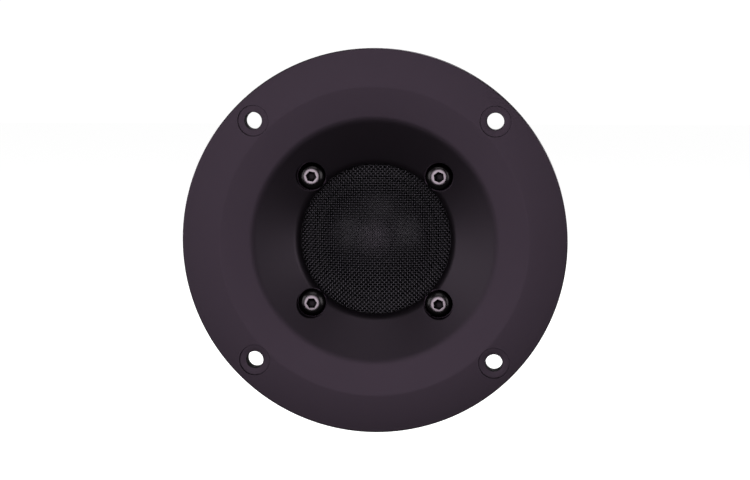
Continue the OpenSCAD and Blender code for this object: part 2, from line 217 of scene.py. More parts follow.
# ---- Meshes ----


def new_piece(name: str, mesh: bpy.types.Mesh, material: bpy.types.Material) -> bpy.types.Object:
    """Links a mesh to the scene as a piece with one material.

    Args:
        name: The piece's name.
        mesh: Its mesh, already in the row's frame.
        material: Its material.

    Returns:
        The new object.
    """
    piece = bpy.data.objects.new(name, mesh)
    bpy.context.scene.collection.objects.link(piece)
    mesh.materials.clear()
    mesh.materials.append(material)
    return piece


def smooth(mesh: bpy.types.Mesh, angle: float = SMOOTH_ANGLE) -> None:
    """Shades a mesh smooth, with hard edges where its faces turn by more than an angle."""
    mesh.shade_smooth()
    mesh.set_sharp_from_angle(angle=angle)


def mesh_from(name: str, build: Callable[[bmesh.types.BMesh], None]) -> bpy.types.Mesh:
    """Makes a mesh with a builder, closes its seams and points its faces outwards.

    Args:
        name: The mesh's name.
        build: Fills an empty bmesh.

    Returns:
        The finished mesh.
    """
    work = bmesh.new()
    build(work)
    bmesh.ops.remove_doubles(work, verts=work.verts, dist=SEAM)
    bmesh.ops.recalc_face_normals(work, faces=work.faces)
    mesh = bpy.data.meshes.new(name)
    work.to_mesh(mesh)
    work.free()
    return mesh


def turned_mesh(name: str, outline: Sequence[Point], steps: int) -> bpy.types.Mesh:
    """Turns a closed outline round the axis.

    Args:
        name: The mesh's name.
        outline: Points (radius, height), in order.
        steps: How many steps the turn has.

    Returns:
        The turned mesh, in the row's frame.
    """

    def build(work: bmesh.types.BMesh) -> None:
        """Makes rings of vertices and joins each to the next."""
        rings = []
        for k in range(steps):
            angle = 2 * math.pi * k / steps
            c, s = math.cos(angle), math.sin(angle)
            rings.append([work.verts.new((r * c, -z, r * s)) for r, z in outline])
        for k, ring in enumerate(rings):
            after = rings[(k + 1) % steps]
            for i in range(len(outline)):
                j = (i + 1) % len(outline)
                if outline[i][0] < ON_AXIS and outline[j][0] < ON_AXIS:
                    continue
                work.faces.new((ring[i], ring[j], after[j], after[i]))

    return mesh_from(name, build)


@dataclass(frozen=True)
class Drill:
    """A round cut from the front, with a rounded edge at its mouth."""

    radius: float
    at: float
    angle: float
    floor: float
    mouth: float
    edge: float = 0.0

    def outline(self) -> list[Point]:
        """Draws the cutter's section, from its axis out."""
        past = self.mouth + CUT_PAST
        low, beyond = Corner(self.radius, self.floor), Corner(self.radius + CUT_PAST, self.mouth)
        mouth = corner_arc(low, Corner(self.radius, self.mouth, self.edge), beyond, 5)
        floor = [(0.0, self.floor), (self.radius, self.floor)]
        return [*floor, *mouth, (mouth[-1][0], past), (0.0, past)]

    def place(self) -> Vector:
        """Gives the middle of the cut across the face, in the row's frame."""
        a = math.radians(self.angle)
        return Vector((self.at * math.cos(a), 0.0, self.at * math.sin(a)))


def drilled(piece: bpy.types.Object, drills: Iterable[Drill], steps: int = 72) -> None:
    """Cuts holes in a piece with exact booleans.

    Args:
        piece: The piece to cut. Its mesh is replaced.
        drills: The cuts.
        steps: How many steps each round cut has.
    """
    for drill in drills:
        cutter_mesh = turned_mesh("cutter", drill.outline(), steps)
        cutter_mesh.transform(Matrix.Translation(drill.place()))
        cutter = bpy.data.objects.new("cutter", cutter_mesh)
        bpy.context.scene.collection.objects.link(cutter)
        cut = piece.modifiers.new("cut", "BOOLEAN")
        cut.operation, cut.solver, cut.object = "DIFFERENCE", "EXACT", cutter
        bake_modifiers(piece)
        bpy.data.objects.remove(cutter)


def bake_modifiers(piece: bpy.types.Object) -> None:
    """Replaces a piece's mesh by its evaluated mesh, and clears its modifiers."""
    bpy.context.view_layer.update()
    graph = bpy.context.evaluated_depsgraph_get()
    mesh = bpy.data.meshes.new_from_object(piece.evaluated_get(graph))
    material = piece.data.materials[0] if piece.data.materials else None
    piece.modifiers.clear()
    piece.data = mesh
    mesh.materials.clear()
    if material:
        mesh.materials.append(material)


def outline_normals(outline: Sequence[Point]) -> tuple[np.ndarray, np.ndarray]:
    """Gives each chord of a closed outline its outward normal.

    Args:
        outline: Points (radius, height), in order.

    Returns:
        The point where each chord starts, and the chord's normal.
    """
    points = np.array(outline)
    chords = np.roll(points, -1, axis=0) - points
    chords /= np.maximum(np.linalg.norm(chords, axis=1, keepdims=True), 1e-12)
    after = np.roll(points, -1, axis=0)
    side = 1.0 if np.sum(points[:, 0] * after[:, 1] - after[:, 0] * points[:, 1]) > 0 else -1.0
    normals = side * np.column_stack([chords[:, 1], -chords[:, 0]])
    return points, normals


def even_shading(piece: bpy.types.Object, outline: Sequence[Point]) -> None:
    """Gives the turned faces of a drilled piece the normals of their true outline.

    Args:
        piece: A drilled piece, in the row's frame.
        outline: The outline that it was turned from.
    """
    mesh = piece.data
    smooth(mesh)
    points, chord_normals = outline_normals(outline)
    ends = np.roll(points, -1, axis=0)
    spans = ends - points
    lengths = np.maximum((spans**2).sum(axis=1), 1e-18)
    before = np.roll(chord_normals, 1, axis=0)
    after = np.roll(chord_normals, -1, axis=0)
    gentle = math.cos(SMOOTH_ANGLE)
    joins_before = (chord_normals * before).sum(axis=1, keepdims=True) > gentle
    joins_after = (chord_normals * after).sum(axis=1, keepdims=True) > gentle
    start = np.where(joins_before, chord_normals + before, chord_normals)
    finish = np.where(joins_after, chord_normals + after, chord_normals)
    custom = np.zeros((len(mesh.loops), 3))
    for face in mesh.polygons:
        centre, flat = face.center, face.normal
        radius = math.hypot(centre.x, centre.z)
        if radius < ON_AXIS:
            continue
        out = np.array([centre.x, centre.z]) / radius
        own = np.array([flat.x * out[0] + flat.z * out[1], -flat.y])
        q = np.array([radius, -centre.y])
        share = np.clip(((q - points) * spans).sum(axis=1) / lengths, 0, 1)
        gap = np.linalg.norm(points + spans * share[:, None] - q, axis=1)
        chord = int(np.argmin(gap + (chord_normals @ own < SAME_WAY)))
        if chord_normals[chord] @ own < SAME_WAY or gap[chord] > ON_OUTLINE:
            continue
        for loop in face.loop_indices:
            at = mesh.vertices[mesh.loops[loop].vertex_index].co
            r = math.hypot(at.x, at.z)
            if r < ON_AXIS:
                continue
            along = (np.array([r, -at.y]) - points[chord]) @ spans[chord] / lengths[chord]
            t = float(np.clip(along, 0, 1))
            n = (1 - t) * start[chord] / np.linalg.norm(start[chord])
            n = n + t * finish[chord] / np.linalg.norm(finish[chord])
            n /= np.linalg.norm(n)
            custom[loop] = (n[0] * at.x / r, -n[1], n[0] * at.z / r)
    mesh.normals_split_custom_set([tuple(n) for n in custom])


# ---- Node trees ----


class NodeDesk:
    """Adds and wires nodes in one node tree."""

    def __init__(self, tree: bpy.types.NodeTree) -> None:
        """Keeps the tree that it works on."""
        self.tree = tree

    def add(
        self, kind: str, settings: dict[str, object] | None = None, **sockets: object
    ) -> bpy.types.Node:
        """Adds a node and fills its inputs.

        Args:
            kind: The node's type name.
            settings: Properties of the node itself.
            **sockets: Inputs by name with _ for a space, or i0, i1 for an input's place. A
                value is a constant, another node's output, or a node for its first output.

        Returns:
            The new node.
        """
        node = self.tree.nodes.new(kind)
        for key, value in (settings or {}).items():
            setattr(node, key, value)
        for key, value in sockets.items():
            by_place = key[0] == "i" and key[1:].isdigit()
            socket = node.inputs[int(key[1:]) if by_place else key.replace("_", " ")]
            if isinstance(value, bpy.types.Node):
                value = value.outputs[0]
            if isinstance(value, bpy.types.NodeSocket):
                self.tree.links.new(value, socket)
            else:
                socket.default_value = value
        return node

    def math(self, operation: str, a: object, b: object = 0.0) -> bpy.types.NodeSocket:
        """Adds a maths node and returns its result."""
        return self.add("ShaderNodeMath", {"operation": operation}, i0=a, i1=b).outputs[0]

    def scaled(
        self, source: object, factor: object, shift: object = 0.0, clamp: bool = False
    ) -> bpy.types.NodeSocket:
        """Adds a multiply-add of a value and returns its result.

        Args:
            source: The value.
            factor: What multiplies it.
            shift: What is added.
            clamp: Whether the result is kept between 0 and 1.

        Returns:
            The result.
        """
        settings = {"operation": "MULTIPLY_ADD", "use_clamp": clamp}
        return self.add("ShaderNodeMath", settings, i0=source, i1=factor, i2=shift).outputs[0]

    def times(self, a: object, b: object) -> bpy.types.NodeSocket:
        """Multiplies two values."""
        return self.math("MULTIPLY", a, b)

    def plus(self, a: object, b: object) -> bpy.types.NodeSocket:
        """Adds two values."""
        return self.math("ADD", a, b)

    def over(self, a: object, b: object) -> bpy.types.NodeSocket:
        """Divides a value by another."""
        return self.math("DIVIDE", a, b)

    def split(self, vector: object) -> list[bpy.types.NodeSocket]:
        """Gives a vector's three parts."""
        return list(self.add("ShaderNodeSeparateXYZ", Vector=vector).outputs)

    def noise(
        self, where: object, scale: float, detail: float, rough: float, swirl: float = 0.0
    ) -> bpy.types.NodeSocket:
        """Adds a noise texture and returns its value.

        Args:
            where: The coordinates.
            scale: Its scale.
            detail: How many finer layers it has.
            rough: How strong each finer layer is.
            swirl: Its distortion.

        Returns:
            The noise, from 0 to 1.
        """
        cloud = self.add(
            "ShaderNodeTexNoise", Vector=where, Scale=scale, Detail=detail, Roughness=rough,
            Distortion=swirl,
        )
        return cloud.outputs[0]


# ---- Finishes ----


class Grain(Enum):
    """How a finish varies over its surface."""

    BLASTED = "blasted"
    TURNED = "turned"
    MOULDED = "moulded"
    GROUND = "ground"
    FOAM = "foam"
    FELT = "felt"
    WOVEN = "woven"
    DRAWN = "drawn"


@dataclass(frozen=True)
class Finish:
    """One finish: its colours, gloss and grain."""

    slot: str
    dark: Colour
    light: Colour
    rough: float
    rough_swing: float
    grain: Grain
    grain_size: float
    relief: float
    metal: float = 0.0
    specular: float = 0.5
    tint: Colour = (1.0, 1.0, 1.0)
    sheen: float = 0.0
    sheen_rough: float = 0.5
    blotch_size: float = 6.0 * MM
    # The point attribute that mixes in painted shade, and the dark colour that the painted shade mixes
    # towards.
    shade: str = ""
    shaded: Colour = (0.010, 0.009, 0.010)
    broad_share: float = 0.7
    fine_share: float = 0.3
    own_name: str = ""

    @property
    def name(self) -> str:
        """Gives the material's name: its own, or else its slot's."""
        return self.own_name or self.slot

    def material(self) -> bpy.types.Material:
        """Builds the finish as a procedural material.

        Returns:
            A material that reads the piece's own coordinates.
        """
        made = bpy.data.materials.new(self.name)
        made.use_nodes = True
        made.node_tree.nodes.clear()
        desk = NodeDesk(made.node_tree)
        where = desk.add("ShaderNodeTexCoord").outputs["Object"]
        blotch = desk.noise(where, 1.0 / self.blotch_size, 3.0, 0.6)
        height = self.height(desk, where)
        broad = desk.scaled(blotch, self.broad_share)
        tone = desk.scaled(height, self.fine_share, broad, clamp=True)
        mix = desk.add("ShaderNodeMix", {"data_type": "RGBA"}, i0=tone)
        mix.inputs[6].default_value = (*self.dark, 1.0)
        mix.inputs[7].default_value = (*self.light, 1.0)
        colour = mix.outputs[2]
        # Painted shade: where the attribute is set, the colour is mixed towards the dark shaded colour.
        if self.shade:
            shade_share = desk.add("ShaderNodeAttribute", {"attribute_name": self.shade}).outputs["Fac"]
            under = desk.add("ShaderNodeMix", {"data_type": "RGBA"}, i0=shade_share, i6=colour)
            under.inputs[7].default_value = (*self.shaded, 1.0)
            colour = under.outputs[2]
        rough = desk.scaled(blotch, self.rough_swing, self.rough - self.rough_swing / 2)
        rough = desk.plus(rough, desk.scaled(height, self.rough_swing / 2))
        bump = desk.add("ShaderNodeBump", Strength=1.0, Distance=self.relief, Height=height)
        shader = desk.add(
            "ShaderNodeBsdfPrincipled",
            Base_Color=colour,
            Roughness=rough,
            Metallic=self.metal,
            Normal=bump,
        )
        shader.inputs["Specular IOR Level"].default_value = self.specular
        shader.inputs["Specular Tint"].default_value = (*self.tint, 1.0)
        shader.inputs["Sheen Weight"].default_value = self.sheen
        shader.inputs["Sheen Roughness"].default_value = self.sheen_rough
        desk.add("ShaderNodeOutputMaterial", Surface=shader)
        return made

    def height(self, desk: NodeDesk, where: bpy.types.NodeSocket) -> bpy.types.NodeSocket:
        """Builds the finish's relief, from about 0 to 1.

        Args:
            desk: The material's node desk.
            where: The piece's own coordinates.

        Returns:
            The relief's height.
        """
        fine = 1.0 / self.grain_size
        if self.grain is Grain.TURNED:
            x, y, z = desk.split(where)
            squares = desk.plus(desk.times(x, x), desk.times(z, z))
            along = desk.add("ShaderNodeCombineXYZ", X=desk.math("SQRT", squares), Y=y)
            return desk.noise(along, fine, 4.0, 0.7)
        if self.grain is Grain.FOAM:
            cells = desk.add("ShaderNodeTexVoronoi", {"feature": "F1"}, Vector=where, Scale=fine)
            return cells.outputs[0]
        if self.grain is Grain.WOVEN:
            x, _, z = desk.split(where)
            pace = 2 * math.pi * fine
            warp, weft = (desk.math("SINE", desk.scaled(axis, pace)) for axis in (x, z))
            return desk.scaled(desk.times(warp, weft), 0.5, 0.5)
        if self.grain is Grain.FELT:
            return desk.noise(where, fine, 8.0, 0.8, swirl=2.0)
        detail = {Grain.MOULDED: 3.0, Grain.GROUND: 6.0}.get(self.grain, 2.0)
        return desk.noise(where, fine, detail, 0.6)


ANODISED = Finish(
    slot="faceplate_paint", dark=(0.0045, 0.0038, 0.0048), light=(0.0065, 0.0052, 0.0068),
    rough=0.38, rough_swing=0.03, grain=Grain.BLASTED, grain_size=0.14 * MM, relief=0.002 * MM,
    specular=0.5, tint=(1.0, 0.80, 1.01), blotch_size=14.0 * MM,
)
BLACK_WIRE = Finish(
    slot="grille_wire", dark=(0.0040, 0.0040, 0.0052), light=(0.0070, 0.0070, 0.0090), rough=0.15,
    rough_swing=0.04, grain=Grain.DRAWN, grain_size=0.3 * MM, relief=0.001 * MM, specular=1.0,
    tint=(0.95, 0.88, 1.0),
)
BRIGHT_STEEL = Finish(
    slot="screw_steel", dark=(0.18, 0.166, 0.173), light=(0.28, 0.260, 0.269), rough=0.22,
    rough_swing=0.05, grain=Grain.GROUND, grain_size=0.35 * MM, relief=0.0015 * MM, metal=1.0,
    blotch_size=1.5 * MM, shade=PAINTED_SHADE,
)
SMALL_STEEL = Finish(
    slot="small_screw_steel", dark=(0.42, 0.43, 0.44), light=(0.60, 0.61, 0.62), rough=0.32,
    rough_swing=0.12, grain=Grain.GROUND, grain_size=0.3 * MM, relief=0.003 * MM, metal=1.0,
    blotch_size=2.0 * MM, shade=PAINTED_SHADE,
)
BLACK_PLASTIC = Finish(
    slot="black_plastic", dark=(0.020, 0.020, 0.021), light=(0.032, 0.032, 0.034), rough=0.5,
    rough_swing=0.1, grain=Grain.MOULDED, grain_size=0.25 * MM, relief=0.015 * MM, specular=0.4,
)
FOAM = Finish(
    slot="gasket_foam", dark=(0.018, 0.018, 0.019), light=(0.045, 0.045, 0.047), rough=0.85,
    rough_swing=0.1, grain=Grain.FOAM, grain_size=0.28 * MM, relief=0.06 * MM, specular=0.2,
)
COATED_SILK = Finish(
    slot="dome_cloth", dark=(0.0035, 0.0035, 0.0042), light=(0.006, 0.006, 0.007), rough=0.35,
    rough_swing=0.05, grain=Grain.WOVEN, grain_size=0.32 * MM, relief=0.002 * MM, specular=1.0,
    tint=(0.97, 0.90, 1.0),
)
MATT_SILK = Finish(
    slot="dome_cloth", dark=(0.003, 0.003, 0.0035), light=(0.005, 0.005, 0.0055), rough=0.52,
    rough_swing=0.06, grain=Grain.WOVEN, grain_size=0.32 * MM, relief=0.003 * MM, specular=0.34,
    own_name="surround_cloth",
)
FOIL = Finish(
    slot="former_foil", dark=(0.62, 0.62, 0.63), light=(0.75, 0.75, 0.76), rough=0.3,
    rough_swing=0.1, grain=Grain.DRAWN, grain_size=0.4 * MM, relief=0.004 * MM, metal=1.0,
)
COPPER = Finish(
    slot="copper", dark=(0.60, 0.26, 0.14), light=(0.80, 0.42, 0.26), rough=0.3, rough_swing=0.12,
    grain=Grain.DRAWN, grain_size=0.4 * MM, relief=0.004 * MM, metal=1.0, blotch_size=3.0 * MM,
)
TINSEL = Finish(
    slot="copper", dark=(0.035, 0.022, 0.016), light=(0.06, 0.04, 0.03), rough=0.55,
    rough_swing=0.1, grain=Grain.DRAWN, grain_size=0.3 * MM, relief=0.004 * MM, metal=1.0,
    own_name="lead_tinsel",
)
TINNED = Finish(
    slot="terminal_brass", dark=(0.03, 0.03, 0.032), light=(0.06, 0.06, 0.062), rough=0.55,
    rough_swing=0.1, grain=Grain.GROUND, grain_size=0.3 * MM, relief=0.004 * MM, metal=1.0,
    own_name="tag_solder",
)
BRASS = Finish(
    slot="terminal_brass", dark=(0.62, 0.45, 0.18), light=(0.82, 0.64, 0.32), rough=0.28,
    rough_swing=0.14, grain=Grain.DRAWN, grain_size=0.5 * MM, relief=0.006 * MM, metal=1.0,
    blotch_size=2.5 * MM,
)
PLATED_STEEL = Finish(
    slot="plated_steel", dark=(0.34, 0.35, 0.37), light=(0.50, 0.51, 0.53), rough=0.36,
    rough_swing=0.14, grain=Grain.TURNED, grain_size=0.22 * MM, relief=0.012 * MM, metal=1.0,
    blotch_size=9.0 * MM,
)
FERRITE = Finish(
    slot="ferrite", dark=(0.016, 0.016, 0.018), light=(0.042, 0.042, 0.045), rough=0.55,
    rough_swing=0.2, grain=Grain.GROUND, grain_size=0.5 * MM, relief=0.03 * MM, specular=0.6,
    blotch_size=4.0 * MM,
)
FELT = Finish(
    slot="grey_felt", dark=(0.22, 0.22, 0.21), light=(0.42, 0.42, 0.40), rough=0.95,
    rough_swing=0.05, grain=Grain.FELT, grain_size=0.6 * MM, relief=0.12 * MM, specular=0.1,
    sheen=0.4,
)
FINISHES = (
    ANODISED, BLACK_WIRE, BRIGHT_STEEL, SMALL_STEEL, BLACK_PLASTIC, FOAM, COATED_SILK, MATT_SILK,
    FOIL, COPPER, TINSEL, TINNED, BRASS, PLATED_STEEL, FERRITE, FELT,
)


class Paintbox:
    """Makes each finish once and hands it out."""

    def __init__(self) -> None:
        """Builds every finish's material."""
        self.made = {finish.name: finish.material() for finish in FINISHES}

    def of(self, finish: Finish) -> bpy.types.Material:
        """Gives a finish's material."""
        return self.made[finish.name]

    def turned(
        self, name: str, outline: Sequence[Point], steps: int, finish: Finish
    ) -> bpy.types.Object:
        """Turns a closed outline into a piece with a finish.

        Args:
            name: The piece's name.
            outline: Points (radius, height), in order.
            steps: How many steps the turn has.
            finish: Its finish.

        Returns:
            The new piece.
        """
        return new_piece(name, turned_mesh(name, outline, steps), self.of(finish))

    def dress_frame(self) -> None:
        """Gives each node of the frame the finish of its own slot, and the tags their solder."""
        slots = {row["node"]: row["material_slot"] for row in frame["record"]["subparts"]}
        for name, node in frame["nodes"].items():
            finish = TINNED.name if name.startswith("solder_tag") else slots[name]
            node.data.materials.clear()
            node.data.materials.append(self.made[finish])


# ---- Geometry Nodes ----


class GrowTree:
    """A Geometry Nodes tree with named inputs, run once on an empty mesh."""

    def __init__(self, name: str) -> None:
        """Makes an empty tree with a geometry output.

        Args:
            name: The tree's name.
        """
        self.tree = bpy.data.node_groups.new(name, "GeometryNodeTree")
        self.tree.interface.new_socket(
            name="Geometry", in_out="OUTPUT", socket_type="NodeSocketGeometry"
        )
        self.desk = NodeDesk(self.tree)
        self.entry = self.tree.nodes.new("NodeGroupInput")
        self.sockets: dict[str, str] = {}

    def input(self, name: str, kind: str) -> bpy.types.NodeSocket:
        """Adds a named input.

        Args:
            name: The input's name.
            kind: Its socket type, such as Float, Int, Material or Object.

        Returns:
            The output of the tree's input node that carries it.
        """
        socket = self.tree.interface.new_socket(
            name=name, in_out="INPUT", socket_type="NodeSocket" + kind
        )
        self.sockets[name] = socket.identifier
        return next(s for s in self.entry.outputs if s.identifier == socket.identifier)

    def end(self, geometry: bpy.types.Node, material: bpy.types.NodeSocket) -> None:
        """Closes the tree with Realize Instances and Set Material."""
        real = self.desk.add("GeometryNodeRealizeInstances", Geometry=geometry)
        dressed = self.desk.add("GeometryNodeSetMaterial", Geometry=real, Material=material)
        self.desk.add("NodeGroupOutput", i0=dressed)

    def end_as_tube(
        self, curve: bpy.types.Node, wire: bpy.types.NodeSocket, material: bpy.types.NodeSocket
    ) -> None:
        """Closes the tree with a round wire along its curves.

        Args:
            curve: The node that gives the curves.
            wire: The wire's radius.
            material: The wire's material.
        """
        section = self.desk.add(
            "GeometryNodeCurvePrimitiveCircle", Resolution=WIRE_SIDES, Radius=wire
        )
        tube = self.desk.add(
            "GeometryNodeCurveToMesh", Curve=curve, Profile_Curve=section, Fill_Caps=True
        )
        self.end(self.desk.add("GeometryNodeSetShadeSmooth", Geometry=tube), material)

    def grow(
        self, name: str, values: dict[str, object], material: bpy.types.Material
    ) -> bpy.types.Object:
        """Runs the tree and keeps its result as a plain mesh.

        Args:
            name: The piece's name.
            values: A value for each named input.
            material: The piece's material.

        Returns:
            The piece, with no modifier left.
        """
        piece = new_piece(name, bpy.data.meshes.new(name), material)
        grown = piece.modifiers.new("grow", "NODES")
        grown.node_group = self.tree
        for key, value in {**values, "Material": material}.items():
            grown[self.sockets[key]] = value
        bake_modifiers(piece)
        return piece


def woven_wire_tree() -> GrowTree:
    """Builds the tree that lays one set of a plain weave's wires over a dome.

    Each wire starts as a straight line on the flat cloth. The cloth is pressed over a ball of the
    cap's radius, and stays flat outside the cap's edge.

    Returns:
        The tree, with its inputs.
    """
    tree = GrowTree("woven_wire")
    desk = tree.desk
    pitch, cross = tree.input("Pitch", "Float"), tree.input("Cross Pitch", "Float")
    wire, cap = tree.input("Wire Radius", "Float"), tree.input("Cap Radius", "Float")
    edge, cut = tree.input("Edge Radius", "Float"), tree.input("Cut Radius", "Float")
    rim, side = tree.input("Rim Height", "Float"), tree.input("Side", "Float")
    turn, steps = tree.input("Turn", "Float"), tree.input("Steps", "Int")
    material = tree.input("Material", "Material")

    half = desk.math("CEIL", desk.over(cut, pitch))
    first = desk.add("ShaderNodeCombineXYZ", X=desk.scaled(desk.times(half, pitch), -1.0))
    step = desk.add("ShaderNodeCombineXYZ", X=pitch)
    feet = desk.add(
        "GeometryNodeMeshLine", {"mode": "OFFSET"}, Count=desk.scaled(half, 2.0, 1.0),
        Start_Location=first, Offset=step,
    )
    cross_half = desk.math("CEIL", desk.over(cut, cross))
    reach = desk.times(cross_half, cross)
    low = desk.add("ShaderNodeCombineXYZ", Y=desk.times(reach, -1.0))
    high = desk.add("ShaderNodeCombineXYZ", Y=reach)
    line = desk.add("GeometryNodeCurvePrimitiveLine", Start=low, End=high)
    samples = desk.scaled(desk.times(cross_half, 2.0), steps, 1.0)
    fine = desk.add("GeometryNodeResampleCurve", Curve=line, Count=samples)
    wires = desk.add("GeometryNodeInstanceOnPoints", Points=feet, Instance=fine)
    flat = desk.add("GeometryNodeRealizeInstances", Geometry=wires)

    spot = desk.add("GeometryNodeInputPosition")
    u, v, _ = desk.split(spot)
    phase = desk.plus(desk.over(u, pitch), desk.over(v, cross))
    wave = desk.math("COSINE", desk.times(phase, math.pi))
    lift = desk.times(desk.times(wave, wire), side)

    far = desk.add("ShaderNodeVectorMath", {"operation": "LENGTH"}, i0=spot).outputs["Value"]
    out = desk.add("ShaderNodeVectorMath", {"operation": "NORMALIZE"}, i0=spot)
    edge_turn = desk.math("ARCSINE", desk.over(edge, cap))
    edge_far = desk.times(edge_turn, cap)
    inside = desk.math("MINIMUM", far, edge_far)
    outside = desk.math("MAXIMUM", desk.math("SUBTRACT", far, edge_far), 0.0)
    tilt = desk.over(inside, cap)
    lean = desk.times(tilt, desk.math("LESS_THAN", far, edge_far))
    radius = desk.plus(desk.times(desk.math("SINE", tilt), cap), outside)
    radius = desk.plus(radius, desk.times(lift, desk.math("SINE", lean)))
    sag = desk.math("SUBTRACT", desk.math("COSINE", tilt), desk.math("COSINE", edge_turn))
    height = desk.plus(desk.times(sag, cap), rim)
    height = desk.plus(height, desk.times(lift, desk.math("COSINE", lean)))
    across = desk.add("ShaderNodeVectorMath", {"operation": "SCALE"}, i0=out, Scale=radius)
    turned = desk.add(
        "ShaderNodeVectorRotate", {"rotation_type": "Z_AXIS"}, Vector=across, Angle=turn
    )
    x, z, _ = desk.split(turned)
    place = desk.add("ShaderNodeCombineXYZ", X=x, Y=desk.times(height, -1.0), Z=z)
    store = desk.add(
        "GeometryNodeStoreNamedAttribute", {"data_type": "FLOAT", "domain": "POINT"}, Geometry=flat,
        Name="far", Value=far,
    )
    pressed = desk.add("GeometryNodeSetPosition", Geometry=store, Position=place)
    kept = desk.add("GeometryNodeInputNamedAttribute", {"data_type": "FLOAT"}, Name="far")
    trimmed = desk.add(
        "GeometryNodeDeleteGeometry", {"domain": "POINT"}, Geometry=pressed,
        Selection=desk.math("GREATER_THAN", kept, cut),
    )
    tree.end_as_tube(trimmed, wire, material)
    return tree


def circle_tree() -> GrowTree:
    """Builds the tree that sets copies of one piece round a circle, each turned at random.

    Returns:
        The tree, with its inputs.
    """
    tree = GrowTree("round_the_circle")
    desk = tree.desk
    pattern, count = tree.input("Piece", "Object"), tree.input("Count", "Int")
    at, first = tree.input("Circle Radius", "Float"), tree.input("First Angle", "Float")
    step, seed = tree.input("Step Angle", "Float"), tree.input("Seed", "Int")
    material = tree.input("Material", "Material")

    index = desk.add("GeometryNodeInputIndex")
    angle = desk.plus(desk.times(index, step), first)
    place = desk.add(
        "ShaderNodeCombineXYZ", X=desk.times(desk.math("COSINE", angle), at),
        Z=desk.times(desk.math("SINE", angle), at),
    )
    spots = desk.add("GeometryNodePoints", Count=count, Position=place)
    info = desk.add("GeometryNodeObjectInfo", {"transform_space": "ORIGINAL"}, Object=pattern)
    chance = desk.add("FunctionNodeRandomValue", {"data_type": "FLOAT"})
    chance.inputs[2].default_value, chance.inputs[3].default_value = 0.0, 2 * math.pi
    desk.tree.links.new(seed, next(s for s in chance.inputs if s.name == "Seed" and s.enabled))
    spin = desk.add("ShaderNodeCombineXYZ", Y=next(s for s in chance.outputs if s.enabled))
    copies = desk.add(
        "GeometryNodeInstanceOnPoints", Points=spots, Instance=info.outputs["Geometry"],
        Rotation=spin,
    )
    tree.end(copies, material)
    return tree


def coil_tree() -> GrowTree:
    """Builds the tree that winds one layer of a coil.

    Returns:
        The tree, with its inputs.
    """
    tree = GrowTree("winding")
    desk = tree.desk
    radius, wire = tree.input("Layer Radius", "Float"), tree.input("Wire Radius", "Float")
    turns, height = tree.input("Turns", "Float"), tree.input("Height", "Float")
    back = tree.input("Back", "Float")
    material = tree.input("Material", "Material")
    spiral = desk.add(
        "GeometryNodeCurveSpiral", Resolution=COIL_CHORDS, Rotations=turns, Start_Radius=radius,
        End_Radius=radius, Height=height,
    )
    lifted = desk.add("ShaderNodeCombineXYZ", Z=back)
    moved = desk.add("GeometryNodeTransform", Geometry=spiral, Translation=lifted)
    turned = desk.add("GeometryNodeTransform", Geometry=moved, Rotation=(math.pi / 2, 0.0, 0.0))
    tree.end_as_tube(turned, wire, material)
    return tree


# ---- Sub-assemblies ----


def settle(piece: bpy.types.Object, body: str, finish: Finish, *nodes: str) -> bpy.types.Object:
    """Ties a finished piece to the frame.

    Args:
        piece: The finished piece.
        body: The body that it rides on.
        finish: Not used.
        *nodes: The nodes that it stands for.

    Returns:
        The same piece.
    """
    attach(piece, body)
    if nodes:
        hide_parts(*nodes)
    LOG.info("%s: %d faces, rides on %s", piece.name, len(piece.data.polygons), body)
    return piece


